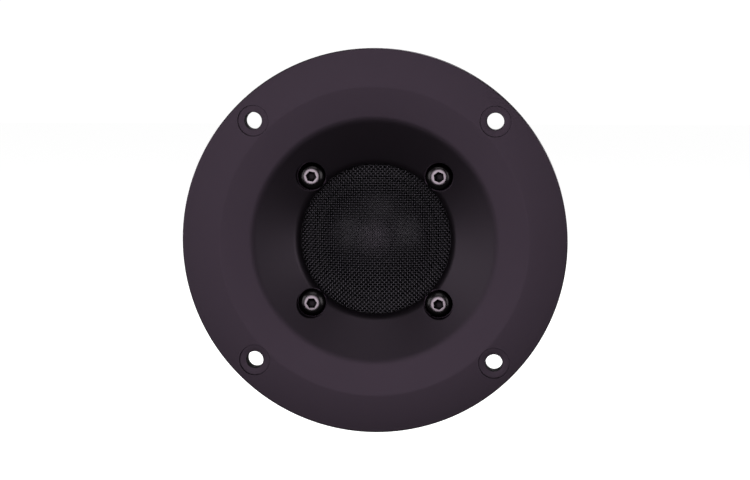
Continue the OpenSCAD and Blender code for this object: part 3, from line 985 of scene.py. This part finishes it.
@dataclass
class Faceplate:
    """The flange, waveguide, throat and rear boss, turned from one blank."""

    paints: Paintbox
    rim_width: float = 10.2 * MM
    shallow_width: float = 8.8 * MM
    shallow_drop: float = 0.9 * MM
    guide_depth: float = 5.45 * MM
    crease: float = 9.0 * MM
    lip: float = 2.9 * MM
    edge: float = 0.3 * MM
    rear_edge: float = 0.4 * MM
    panel_edge: float = 6.0 * MM
    panel_hole: float = 2.3 * MM
    panel_bore: float = 4.1 * MM
    panel_bore_depth: float = 0.7 * MM
    pocket: float = 4.0 * MM
    clamp_hole: float = 2.2 * MM
    hole_edge: float = 0.15 * MM
    pocket_break: float = 0.12 * MM
    rim_cover: float = 1.0 * MM
    rim_cloth: float = 0.5 * MM
    seat_clear: float = 0.1 * MM
    throat_break: float = 0.05 * MM
    boss_wall: float = 0.6 * MM
    boss_root: float = 0.2 * MM
    groove_width: float = 3.6 * MM
    groove_break: float = 0.1 * MM
    clamp_head: float = 2.2 * MM
    steps: int = 288

    def __post_init__(self) -> None:
        """Reads the sizes that the frame gives."""
        plate, ring, gasket = span("faceplate"), span("grille_ring"), span("flange_gasket")
        self.flange = plate.radius
        self.front = plate.front
        self.boss_back = plate.back
        self.throat = ring.radius - self.rim_cover
        self.seat = self.throat + self.rim_cover + self.seat_clear
        self.seat_z = ring.front + self.rim_cloth
        self.clamp_at = self.throat + self.pocket
        self.panel_at = self.flange - self.panel_edge
        self.pocket_z = span("clamp_screws").front - self.clamp_head
        self.groove_out = gasket.radius + self.seat_clear
        self.groove_depth = gasket.front

    def outline(self) -> list[Point]:
        """Draws the plate's section."""
        mouth = self.flange - self.rim_width
        crease_at = mouth - self.shallow_width
        block_foot = abs(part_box("terminal_block")[0].z)
        boss_r = max(block_foot, span("terminal_block").radius) + self.boss_wall
        groove_in = self.groove_out - self.groove_width
        return rounded(
            [
                Corner(self.flange, self.front, self.edge),
                Corner(mouth, self.front, self.crease),
                Corner(crease_at, self.front - self.shallow_drop, self.crease),
                Corner(self.throat, self.front - self.guide_depth, self.lip),
                Corner(self.throat, self.seat_z, self.throat_break),
                Corner(self.seat, self.seat_z),
                Corner(self.seat, self.boss_back),
                Corner(boss_r, self.boss_back, self.rear_edge),
                Corner(boss_r, 0.0, self.boss_root),
                Corner(groove_in, 0.0, self.groove_break),
                Corner(groove_in, self.groove_depth),
                Corner(self.groove_out, self.groove_depth),
                Corner(self.groove_out, 0.0, self.groove_break),
                Corner(self.flange, 0.0, self.rear_edge),
            ],
            steps=12,
        )

    def cuts(self) -> list[Drill]:
        """Lists every hole, counterbore and pocket."""
        bore_floor = self.front - self.panel_bore_depth
        kinds = (
            (self.panel_hole, self.panel_at, -CUT_PAST, bore_floor, self.hole_edge),
            (self.panel_bore, self.panel_at, bore_floor, self.front, self.hole_edge),
            (self.clamp_hole, self.clamp_at, self.boss_back - CUT_PAST, self.front, 0.0),
            (self.pocket, self.clamp_at, self.pocket_z, self.front, 0.0),
        )
        return [
            Drill(radius, at, angle, floor, mouth, edge)
            for angle in QUARTERS
            for radius, at, floor, mouth, edge in kinds
        ]

    def soften_pockets(self, mesh: bpy.types.Mesh) -> None:
        """Breaks the sharp edges where the screw pockets cut the cones.

        Args:
            mesh: The drilled mesh.
        """
        work = bmesh.new()
        work.from_mesh(mesh)
        bmesh.ops.remove_doubles(work, verts=work.verts, dist=CUT_SEAM)
        middles = [drill.place() for drill in self.cuts() if drill.radius == self.pocket]

        def on_pocket(v: bmesh.types.BMVert) -> bool:
            """Tells whether a vertex lies on a pocket's wall, above its floor."""
            if -v.co.y < self.pocket_z + 0.02 * MM:
                return False
            return any(
                abs(math.hypot(v.co.x - m.x, v.co.z - m.z) - self.pocket) < ON_WALL for m in middles
            )

        edges = [
            e for e in work.edges
            if len(e.link_faces) == 2 and all(on_pocket(v) for v in e.verts)
            and e.calc_face_angle(0.0) > math.radians(25)
        ]
        bmesh.ops.bevel(
            work, geom=edges, offset=self.pocket_break, segments=2, profile=0.5, affect="EDGES"
        )
        work.to_mesh(mesh)
        work.free()

    def build(self) -> None:
        """Turns the plate, drills it and ties it to the frame."""
        outline = self.outline()
        plate = self.paints.turned("faceplate_body", outline, self.steps, ANODISED)
        drilled(plate, self.cuts())
        self.soften_pockets(plate.data)
        even_shading(plate, outline)
        settle(plate, HOUSING, ANODISED, "faceplate")


@dataclass
class Grille:
    """The domed plain-woven wire cloth in the throat."""

    paints: Paintbox
    warp_pitch: float = 0.635 * MM
    weft_pitch: float = 0.665 * MM
    wire: float = 0.125 * MM
    rim_flat: float = 1.1 * MM
    spread: float = 1.075
    steps: int = 4

    def build(self) -> None:
        """Weaves the warp and the weft."""
        cloth = span("grille_mesh")
        thick = 4 * self.wire
        edge = cloth.radius - self.rim_flat
        rise = cloth.front - cloth.back - thick
        cap = (edge**2 + rise**2) / (2 * rise)
        tree = woven_wire_tree()
        for name, pitch, cross, side, turn in (
            ("grille_warp", self.warp_pitch, self.weft_pitch, 1.0, 0.0),
            ("grille_weft", self.weft_pitch, self.warp_pitch, -1.0, math.pi / 2),
        ):
            wires = tree.grow(
                name,
                {
                    "Pitch": pitch, "Cross Pitch": cross, "Wire Radius": self.wire,
                    "Cap Radius": cap, "Edge Radius": edge, "Cut Radius": edge * self.spread,
                    "Rim Height": cloth.back + thick / 2, "Side": side, "Turn": turn,
                    "Steps": self.steps,
                },
                self.paints.of(BLACK_WIRE),
            )
            settle(wires, HOUSING, BLACK_WIRE, "grille_mesh")


@dataclass
class SocketScrew:
    """A button-head screw with a hexagon socket."""

    thread: float
    head: float
    head_height: float
    hexagon: float
    length: float
    # How much painted shade darkens the head's dome beyond its flat, from 0 to 1.
    dome_shade: float = 0.0
    flat_share: float = 0.70
    # The width over which the dome's painted shade fades in from the edge of the flat.
    shade_ramp: float = 0.35 * MM
    skirt_share: float = 0.18
    socket_share: float = 0.7
    point_share: float = 0.35
    tip: float = 0.4 * MM
    under_edge: float = 0.06 * MM
    mouth_edge: float = 0.08 * MM
    rings: int = 7
    steps: int = 72

    def outline(self) -> list[Point]:
        """Draws the screw's section, from the middle of its head to its tip."""
        flat = self.hexagon * self.flat_share
        skirt = self.head_height * self.skirt_share
        wide, tall = self.head - flat, self.head_height - skirt
        dome = [
            (flat + wide * math.cos(t), skirt + tall * math.sin(t))
            for t in (math.pi / 2 * k / self.rings for k in range(self.rings + 1))
        ]
        return [
            (0.0, self.head_height),
            *reversed(dome),
            (self.head, self.under_edge),
            (self.head - self.under_edge, 0.0),
            (self.thread, 0.0),
            (self.thread, self.tip - self.length),
            (self.thread - self.tip, -self.length),
            (0.0, -self.length),
        ]

    def pattern(self, material: bpy.types.Material) -> bpy.types.Object:
        """Makes one screw at the origin, with its head's seat at y = 0.

        Args:
            material: Its material.

        Returns:
            The screw.
        """
        outline = self.outline()
        mesh = turned_mesh("screw_pattern", outline, self.steps)
        screw = new_piece("screw_pattern", mesh, material)
        corner = self.hexagon / 2 / math.cos(math.pi / 6)
        top, lead = self.head_height, self.mouth_edge
        floor = top - top * self.socket_share

        def hexagon(work: bmesh.types.BMesh) -> None:
            """Builds the socket's cutter: a point, a hexagonal wall and a chamfered mouth."""
            wide = corner + lead
            levels = ((corner, floor), (corner, top - lead), (wide, top), (wide, top + CUT_PAST))
            turns = [k * math.pi / 3 for k in range(6)]
            rings = [
                [work.verts.new((r * math.cos(a), -z, r * math.sin(a))) for a in turns]
                for r, z in levels
            ]
            point = work.verts.new((0.0, corner * self.point_share - floor, 0.0))
            for k in range(6):
                work.faces.new((point, rings[0][k], rings[0][(k + 1) % 6]))
                for a, b in zip(rings, rings[1:]):
                    work.faces.new((a[k], a[(k + 1) % 6], b[(k + 1) % 6], b[k]))
            work.faces.new(rings[-1])

        cutter = new_piece("socket_cutter", mesh_from("socket_cutter", hexagon), material)
        cut = screw.modifiers.new("socket", "BOOLEAN")
        cut.operation, cut.solver, cut.object = "DIFFERENCE", "EXACT", cutter
        bake_modifiers(screw)
        bpy.data.objects.remove(cutter)
        even_shading(screw, outline)
        # Painted shade: the socket's inside is painted fully dark for the shade in its recess. The head's
        # dome is painted darker than its flat, which is left as a painted bright ring.
        shade = screw.data.attributes.new(PAINTED_SHADE, "FLOAT", "POINT")
        for vertex, value in zip(screw.data.vertices, shade.data):
            across, height = math.hypot(vertex.co.x, vertex.co.z), -vertex.co.y
            sunk = across < corner + lead / 2 and 0.0 < height < top - lead / 2
            dome_share = min(max((across - self.hexagon * self.flat_share) / self.shade_ramp, 0.0), 1.0)
            value.value = 1.0 if sunk else self.dome_shade * dome_share
        return screw


@dataclass
class ScrewSet:
    """Copies of one screw round the axis."""

    paints: Paintbox
    name: str
    node: str
    screw: SocketScrew
    at: float
    seat: float
    finish: Finish
    count: int = 4
    first: float = 45.0
    step: float = 90.0
    seed: int = 3
    rearward: bool = False

    def build(self, tree: GrowTree) -> None:
        """Sets the screws.

        Args:
            tree: The tree that sets copies round a circle.
        """
        material = self.paints.of(self.finish)
        pattern = self.screw.pattern(material)
        if self.rearward:
            pattern.data.transform(Matrix.Rotation(math.pi, 4, "Z"))
        pattern.data.transform(Matrix.Translation((0.0, -self.seat, 0.0)))
        screws = tree.grow(
            self.name,
            {
                "Piece": pattern, "Count": self.count, "Circle Radius": self.at,
                "First Angle": math.radians(self.first), "Step Angle": math.radians(self.step),
                "Seed": self.seed,
            },
            material,
        )
        bpy.data.objects.remove(pattern)
        settle(screws, HOUSING, self.finish, self.node)


@dataclass
class Diaphragm:
    """The dome, its surround, the former, the coil and its leads."""

    paints: Paintbox
    cloth: float = 0.2 * MM
    roll: float = 1.5 * MM
    lip: float = 0.25 * MM
    land: float = 2.6 * MM
    lap: float = 0.02 * MM
    coil_wire: float = 0.11 * MM
    wire_fill: float = 0.98
    lead_swell: float = 1.3
    lead_chords: int = 16
    lead_sides: int = 8
    dome_chords: int = 28
    roll_chords: int = 16
    steps: int = 192

    def __post_init__(self) -> None:
        """Reads where the moving parts stand."""
        self.edge = span("dome").radius
        self.base = span("dome").back
        self.rise = span("dome").front - span("dome").back

    def dome(self) -> None:
        """Presses the dome."""
        ball = (self.edge**2 + self.rise**2) / (2 * self.rise)
        half = math.asin(self.edge / ball)
        centre = self.base + self.rise - ball
        inner_half = math.acos((self.base - centre) / (ball - self.cloth))

        def arc(radius: float, sweep: float) -> list[Point]:
            """Draws an arc from the axis out, about the ball's centre."""
            turns = [sweep * k / self.dome_chords for k in range(self.dome_chords + 1)]
            return [(radius * math.sin(a), centre + radius * math.cos(a)) for a in turns]

        outer, inner = arc(ball, half), arc(ball - self.cloth, inner_half)
        piece = self.paints.turned("dome_cap", outer + inner[::-1], self.steps, COATED_SILK)
        smooth(piece.data)
        settle(piece, DIAPHRAGM, COATED_SILK, "dome")

    def surround(self) -> None:
        """Presses the half-roll surround, which flexes between the dome and the carrier."""
        middle = self.edge + self.lip + self.roll
        half = self.cloth / 2
        top: list[Point] = [(self.edge + self.lap, self.base + self.cloth)]
        low: list[Point] = [(self.edge + self.lap, self.base)]
        for k in range(self.roll_chords + 1):
            a = math.pi - math.pi * k / self.roll_chords
            for row, r in ((top, self.roll + half), (low, self.roll - half)):
                z = self.base + half + r * math.sin(a)
                floor = self.base + self.cloth if row is top else self.base
                row.append((middle + r * math.cos(a), max(z, floor)))
        rim = middle + self.roll + self.land
        top.append((rim, self.base + self.cloth))
        low.append((rim, self.base))
        piece = self.paints.turned("surround_roll", top + low[::-1], self.steps, MATT_SILK)
        mesh = piece.data
        smooth(mesh, math.radians(50))
        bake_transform(piece, HOUSING, DIAPHRAGM, start=(middle, 0.0, 0.0), end=(self.edge, 0.0, 0.0))
        across = np.array([math.hypot(v.co.x, v.co.z) for v in mesh.vertices])
        share = np.clip((middle + self.roll - across) / (2 * self.roll), 0.0, 1.0)
        weights = share * share * (3 - 2 * share)
        mesh.attributes["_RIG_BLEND"].data.foreach_set("value", weights.astype(np.float32))
        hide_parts("surround")

    def coil(self) -> None:
        """Winds the two layers of the coil."""
        coil = span("voice_coil")
        tree = coil_tree()
        wire = self.coil_wire
        turns = (coil.front - coil.back) / (2 * wire) - 1
        inner = span("coil_former").radius + wire
        for layer in range(2):
            piece = tree.grow(
                f"coil_layer_{layer + 1}",
                {
                    "Layer Radius": inner + 2 * wire * layer * self.wire_fill,
                    "Wire Radius": wire * self.wire_fill, "Turns": turns,
                    "Height": coil.front - coil.back - 2 * wire, "Back": coil.back + wire,
                },
                self.paints.of(COPPER),
            )
            settle(piece, DIAPHRAGM, COPPER, "voice_coil")

    def lead(self, name: str) -> None:
        """Bends one flexible lead from the coil former to its solder tag.

        Args:
            name: The node that it stands for.
        """
        low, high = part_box(name)
        wire = (high.x - low.x) / 2
        x = (high.x + low.x) / 2
        level = -low.y - wire
        loop = (-high.y + low.y) / -2 - wire
        near, far = high.z - wire, low.z
        sweep = [math.pi * k / self.lead_chords for k in range(self.lead_chords + 1)]
        swell = loop * self.lead_swell
        points = [
            Vector((x, swell * math.sin(a) - level, near - loop * (1 - math.cos(a)))) for a in sweep
        ]
        points.append(Vector((x, -level, far)))
        sides = self.lead_sides

        def tube(work: bmesh.types.BMesh) -> None:
            """Sweeps a round section along the lead."""
            rings = []
            for i, p in enumerate(points):
                ahead = (points[min(i + 1, len(points) - 1)] - points[max(i - 1, 0)]).normalized()
                across = Vector((1.0, 0.0, 0.0))
                up = across.cross(ahead).normalized()
                rings.append(
                    [
                        work.verts.new(p + wire * (across * math.cos(t) + up * math.sin(t)))
                        for t in (2 * math.pi * k / sides for k in range(sides))
                    ]
                )
            for a, b in zip(rings, rings[1:]):
                for k in range(sides):
                    work.faces.new((a[k], a[(k + 1) % sides], b[(k + 1) % sides], b[k]))
            work.faces.new(rings[0])
            work.faces.new(rings[-1])

        mesh = mesh_from(name + "_tinsel", tube)
        smooth(mesh, math.radians(60))
        piece = new_piece(name + "_tinsel", mesh, self.paints.of(TINSEL))
        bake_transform(piece, HOUSING, DIAPHRAGM, start=(x, 0.0, near - 2 * loop), end=(x, 0.0, near))
        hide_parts(name)

    def build(self) -> None:
        """Makes every part of the diaphragm."""
        self.dome()
        self.surround()
        self.coil()
        self.lead("lead_wire_positive")
        self.lead("lead_wire_negative")


@dataclass
class Motor:
    """The plates, the magnet and the gaskets that show from behind."""

    paints: Paintbox
    coil_gap: float = 0.45 * MM
    clamp_head: float = 3.8 * MM
    clamp_hole: float = 2.02 * MM
    plate_edge: float = 0.3 * MM
    magnet_step: float = 2.05 * MM
    magnet_edge: float = 0.6 * MM
    pole_seat: float = 9.52 * MM
    rear_edge: float = 0.5 * MM
    ear_in: float = 3.1 * MM
    ear_hole: float = 1.52 * MM
    foam_width: float = 3.4 * MM
    foam_edge: float = 0.12 * MM
    steps: int = 224

    def turned(
        self, name: str, node: str, inner: float, edge: float, finish: Finish,
        cuts: Sequence[Drill] = (),
    ) -> None:
        """Turns one ring of the motor.

        Args:
            name: The piece's name.
            node: The node that it stands for.
            inner: Its bore's radius.
            edge: The rounding of its edges.
            finish: Its finish.
            cuts: Holes through it.
        """
        place = span(node)
        outline = ring_outline(inner, place.radius, place.back, place.front, edge)
        piece = self.paints.turned(name, outline, self.steps, finish)
        drilled(piece, cuts, steps=48)
        even_shading(piece, outline)
        settle(piece, HOUSING, finish, node)

    def build(self) -> None:
        """Makes the rings."""
        gap = span("voice_coil").radius + self.coil_gap
        clamp_at = (span("clamp_screws").radius - self.clamp_head) / math.cos(math.pi / 4)
        ear_at = span("rear_chamber").radius - self.ear_in
        plate, rear, foam = span("top_plate"), span("back_plate"), span("flange_gasket")
        self.turned(
            "front_pole_plate", "top_plate", gap, self.plate_edge, PLATED_STEEL,
            [
                Drill(self.clamp_hole, clamp_at, a, plate.back - CUT_PAST, plate.front)
                for a in QUARTERS
            ],
        )
        bore = gap + self.magnet_step
        self.turned("ferrite_ring", "magnet_ring", bore, self.magnet_edge, FERRITE)
        self.turned(
            "rear_pole_plate", "back_plate", self.pole_seat, self.rear_edge, PLATED_STEEL,
            [
                Drill(self.ear_hole, ear_at, a, rear.back - CUT_PAST, rear.front + CUT_PAST)
                for a in QUARTERS
            ],
        )
        foam_in = foam.radius - self.foam_width
        self.turned("flange_foam", "flange_gasket", foam_in, self.foam_edge, FOAM)


@dataclass
class RearChamber:
    """The moulded cup behind the vent bore."""

    paints: Paintbox
    wall: float = 1.6 * MM
    ear: float = 2.0 * MM
    ear_width: float = 6.2 * MM
    ear_hole: float = 1.7 * MM
    ear_edge: float = 0.5 * MM
    mouth_edge: float = 0.1 * MM
    corner: float = 2.5 * MM
    shoulder: float = 0.6 * MM
    inner_round: float = 1.0 * MM
    dish: float = 0.5 * MM
    dish_in: float = 6.0 * MM
    dish_out: float = 5.3 * MM
    dish_edge: float = 0.3 * MM
    steps: int = 224

    def build(self) -> None:
        """Moulds the cup, with a shallow dished back and screw holes."""
        cup = span("rear_chamber")
        body = cup.radius - self.ear_width
        floor, ear_back = cup.back + self.wall, cup.front - self.ear
        outline = rounded(
            [
                Corner(0.0, cup.back + self.dish),
                Corner(body - self.dish_in, cup.back + self.dish, 2 * self.dish_edge),
                Corner(body - self.dish_out, cup.back, self.dish_edge),
                Corner(body, cup.back, self.corner),
                Corner(body, ear_back, self.shoulder),
                Corner(cup.radius, ear_back, self.ear_edge),
                Corner(cup.radius, cup.front, self.mouth_edge),
                Corner(body - self.wall, cup.front),
                Corner(body - self.wall, floor, self.inner_round),
                Corner(0.0, floor),
            ],
            steps=8,
        )
        piece = self.paints.turned("chamber_cup", outline, self.steps, BLACK_PLASTIC)
        at = cup.radius - self.ear_width / 2
        drilled(piece, [Drill(self.ear_hole, at, a, cup.back, cup.front) for a in QUARTERS])
        even_shading(piece, outline)
        settle(piece, HOUSING, BLACK_PLASTIC, "rear_chamber")


@dataclass
class SoftEdges:
    """Copies of the frame's small moulded and stamped parts, with their edges broken."""

    paints: Paintbox
    flat_angle: float = math.radians(1.0)
    edge_angle: float = math.radians(40.0)
    segments: int = 3
    parts: dict[str, tuple[str, float, Finish]] = field(
        default_factory=lambda: {
            "terminal_block": ("block_moulding", 0.3 * MM, BLACK_PLASTIC),
            "terminal_positive": ("wide_blade", 0.12 * MM, BRASS),
            "terminal_negative": ("narrow_blade", 0.12 * MM, BRASS),
        }
    )

    def build(self) -> None:
        """Breaks the edges of each part's copy."""
        for node, (name, width, finish) in self.parts.items():
            mesh = frame["nodes"][node].data.copy()
            work = bmesh.new()
            work.from_mesh(mesh)
            bmesh.ops.remove_doubles(work, verts=work.verts, dist=COPIED_SEAM)
            bmesh.ops.dissolve_limit(
                work, angle_limit=self.flat_angle, verts=work.verts, edges=work.edges,
                use_dissolve_boundaries=False,
            )
            work.to_mesh(mesh)
            work.free()
            piece = new_piece(name, mesh, self.paints.of(finish))
            bevel = piece.modifiers.new("edges", "BEVEL")
            bevel.width, bevel.segments, bevel.limit_method = width, self.segments, "ANGLE"
            bevel.angle_limit = self.edge_angle
            bake_modifiers(piece)
            smooth(piece.data, self.edge_angle)
            settle(piece, HOUSING, finish, node)


# ---- Studio ----


def aim_at(
    name: str, data: bpy.types.ID, azimuth: float, elevation: float, distance: float, target: Vector
) -> bpy.types.Object:
    """Links a lamp or a camera to the scene, pointed at a target.

    Args:
        name: Its name.
        data: The lamp or the camera.
        azimuth: How far it stands right of the face's axis, in degrees.
        elevation: How far it stands above the axis, in degrees.
        distance: How far off it stands.
        target: Where it points.

    Returns:
        The new object.
    """
    a, e = math.radians(azimuth), math.radians(elevation)
    back = Vector((math.sin(a) * math.cos(e), -math.cos(a) * math.cos(e), math.sin(e)))
    holder = bpy.data.objects.new(name, data)
    holder.location = target + back * distance
    holder.rotation_mode = "QUATERNION"
    holder.rotation_quaternion = (-back).to_track_quat("-Z", "Y")
    bpy.context.scene.collection.objects.link(holder)
    return holder


@dataclass(frozen=True)
class Softbox:
    """A square studio light that points at the tweeter's face."""

    name: str
    azimuth: float
    elevation: float
    distance: float
    size: float
    power: float
    colour: Colour = (1.0, 1.0, 1.0)


@dataclass
class Studio:
    """The floor, the light and the camera."""

    floor_drop: float = 48.0 * MM
    camera_distance: float = 500.0 * MM
    azimuth: float = 4.71
    elevation: float = 6.09
    aim: Point = (0.41 * MM, 0.62 * MM)
    lens: float = 89.25
    sensor: float = 36.0
    nearest: float = 0.01
    farthest: float = 20.0
    floor_half: float = 3.0
    floor_grey: float = 0.3
    floor_glow: float = 0.97
    backdrop: float = 1.05
    room: float = 0.062
    softboxes: tuple[Softbox, ...] = (
        Softbox("front", -6.0, 0.0, 0.9, 0.5, 1.6, (1.0, 0.89, 1.0)),
        Softbox("left", -46.0, 5.0, 0.9, 0.5, 1.25),
        Softbox("right", 46.0, 5.0, 0.9, 0.5, 1.35),
        Softbox("top", 0.0, 44.0, 0.9, 0.5, 0.72),
        Softbox("rear", 160.0, 65.0, 0.9, 0.6, 10.0),
        Softbox("rear_right", 113.0, 15.0, 0.9, 0.5, 6.0),
        Softbox("rear_left", -113.0, 12.0, 0.9, 0.5, 9.0),
    )

    def floor(self) -> None:
        """Lays a pale floor below the tweeter."""
        low = CAD_BOX[0].z - self.floor_drop
        corners = ((-1, -1), (1, -1), (1, 1), (-1, 1))

        def build(work: bmesh.types.BMesh) -> None:
            """Makes one square."""
            half = self.floor_half
            work.faces.new([work.verts.new((x * half, y * half, low)) for x, y in corners])

        material = bpy.data.materials.new("studio_floor")
        material.use_nodes = True
        shader = material.node_tree.nodes["Principled BSDF"]
        shader.inputs["Base Color"].default_value = (*(self.floor_grey,) * 3, 1.0)
        shader.inputs["Roughness"].default_value = 1.0
        shader.inputs["Specular IOR Level"].default_value = 0.0
        shader.inputs["Emission Color"].default_value = (1.0, 1.0, 1.0, 1.0)
        shader.inputs["Emission Strength"].default_value = self.floor_glow
        floor = new_piece("floor", mesh_from("floor", build), material)
        floor.visible_diffuse = floor.visible_glossy = False

    def light(self) -> None:
        """Hangs the softboxes and sets a soft, even room behind them."""
        for box in self.softboxes:
            lamp = bpy.data.lights.new(box.name, "AREA")
            lamp.shape, lamp.size = "SQUARE", box.size
            lamp.energy, lamp.color = box.power, box.colour
            aim_at(box.name, lamp, box.azimuth, box.elevation, box.distance, Vector())
        world = bpy.data.worlds.new("room")
        world.use_nodes = True
        desk = NodeDesk(world.node_tree)
        world.node_tree.nodes.clear()
        path = desk.add("ShaderNodeLightPath").outputs["Is Camera Ray"]
        room, seen = (
            desk.add("ShaderNodeBackground", Color=(1.0, 1.0, 1.0, 1.0), Strength=strength)
            for strength in (self.room, self.backdrop)
        )
        mix = desk.add("ShaderNodeMixShader", i0=path, i1=room, i2=seen)
        desk.add("ShaderNodeOutputWorld", i0=mix)
        bpy.context.scene.world = world
        bpy.context.scene.view_settings.view_transform = "Standard"

    def camera(self) -> None:
        """Sets the camera just right of and above the tweeter's axis."""
        data = bpy.data.cameras.new("camera")
        data.lens, data.sensor_width = self.lens, self.sensor
        data.clip_start, data.clip_end = self.nearest, self.farthest
        target = Vector((self.aim[0], CAD_BOX[0].y, self.aim[1]))
        bpy.context.scene.camera = aim_at(
            "camera", data, self.azimuth, self.elevation, self.camera_distance, target
        )

    def build(self) -> None:
        """Sets up the whole studio."""
        self.camera()
        self.floor()
        self.light()


def screw_for(
    node: str, thread: float, head: float, head_height: float, hexagon: float, dome_shade: float = 0.0
) -> SocketScrew:
    """Draws a screw as long as a node's screws.

    Args:
        node: The node whose screws it stands for.
        thread: The thread's radius.
        head: The head's radius.
        head_height: The head's height.
        hexagon: The socket's width across its flats.
        dome_shade: How much painted shade darkens the head's dome round its flat, from 0 to 1.

    Returns:
        The screw.
    """
    place = span(node)
    length = place.front - place.back - head_height
    return SocketScrew(thread, head, head_height, hexagon, length, dome_shade=dome_shade)


def screw_sets(paints: Paintbox, plate: Faceplate) -> list[ScrewSet]:
    """Lists the sets of screws.

    Args:
        paints: The finishes.
        plate: The faceplate, whose pockets hold the clamp screws.

    Returns:
        The sets.
    """
    cup, block, magnet = span("rear_chamber"), span("terminal_block"), span("magnet_ring")
    block_gap, block_inset, block_sink = 0.6 * MM, 2.5 * MM, 1.2 * MM
    clamp = screw_for(
        "clamp_screws", thread=2.0 * MM, head=3.8 * MM, head_height=plate.clamp_head,
        hexagon=2.5 * MM, dome_shade=0.85,
    )
    ear = screw_for(
        "chamber_screws", thread=1.5 * MM, head=2.7 * MM, head_height=1.65 * MM, hexagon=2.0 * MM
    )
    tiny = screw_for(
        "terminal_screws", thread=0.98 * MM, head=1.9 * MM, head_height=1.1 * MM, hexagon=1.2 * MM
    )
    return [
        ScrewSet(
            paints, "clamp_screw_set", "clamp_screws", clamp, at=plate.clamp_at,
            seat=plate.pocket_z, finish=BRIGHT_STEEL,
        ),
        ScrewSet(
            paints, "chamber_screw_set", "chamber_screws", ear,
            at=cup.radius - RearChamber.ear_width / 2, seat=cup.front - RearChamber.ear,
            finish=SMALL_STEEL, seed=8, rearward=True,
        ),
        ScrewSet(
            paints, "terminal_screw_set", "terminal_screws", tiny,
            at=magnet.radius + block_gap + block_inset, seat=block.back + block_sink,
            finish=SMALL_STEEL, count=2, first=-107.8, step=35.6, seed=5, rearward=True,
        ),
    ]


def main() -> None:
    """Dresses the frame, sub-assembly by sub-assembly, and sets the studio."""
    logging.basicConfig(level=logging.INFO, format="%(name)s: %(message)s")
    paints = Paintbox()
    paints.dress_frame()
    Studio().build()
    plate = Faceplate(paints)
    plate.build()
    for make in (Grille, Diaphragm, Motor, RearChamber, SoftEdges):
        make(paints).build()
    circle = circle_tree()
    for screws in screw_sets(paints, plate):
        screws.build(circle)


if __name__ == "__main__":
    main()
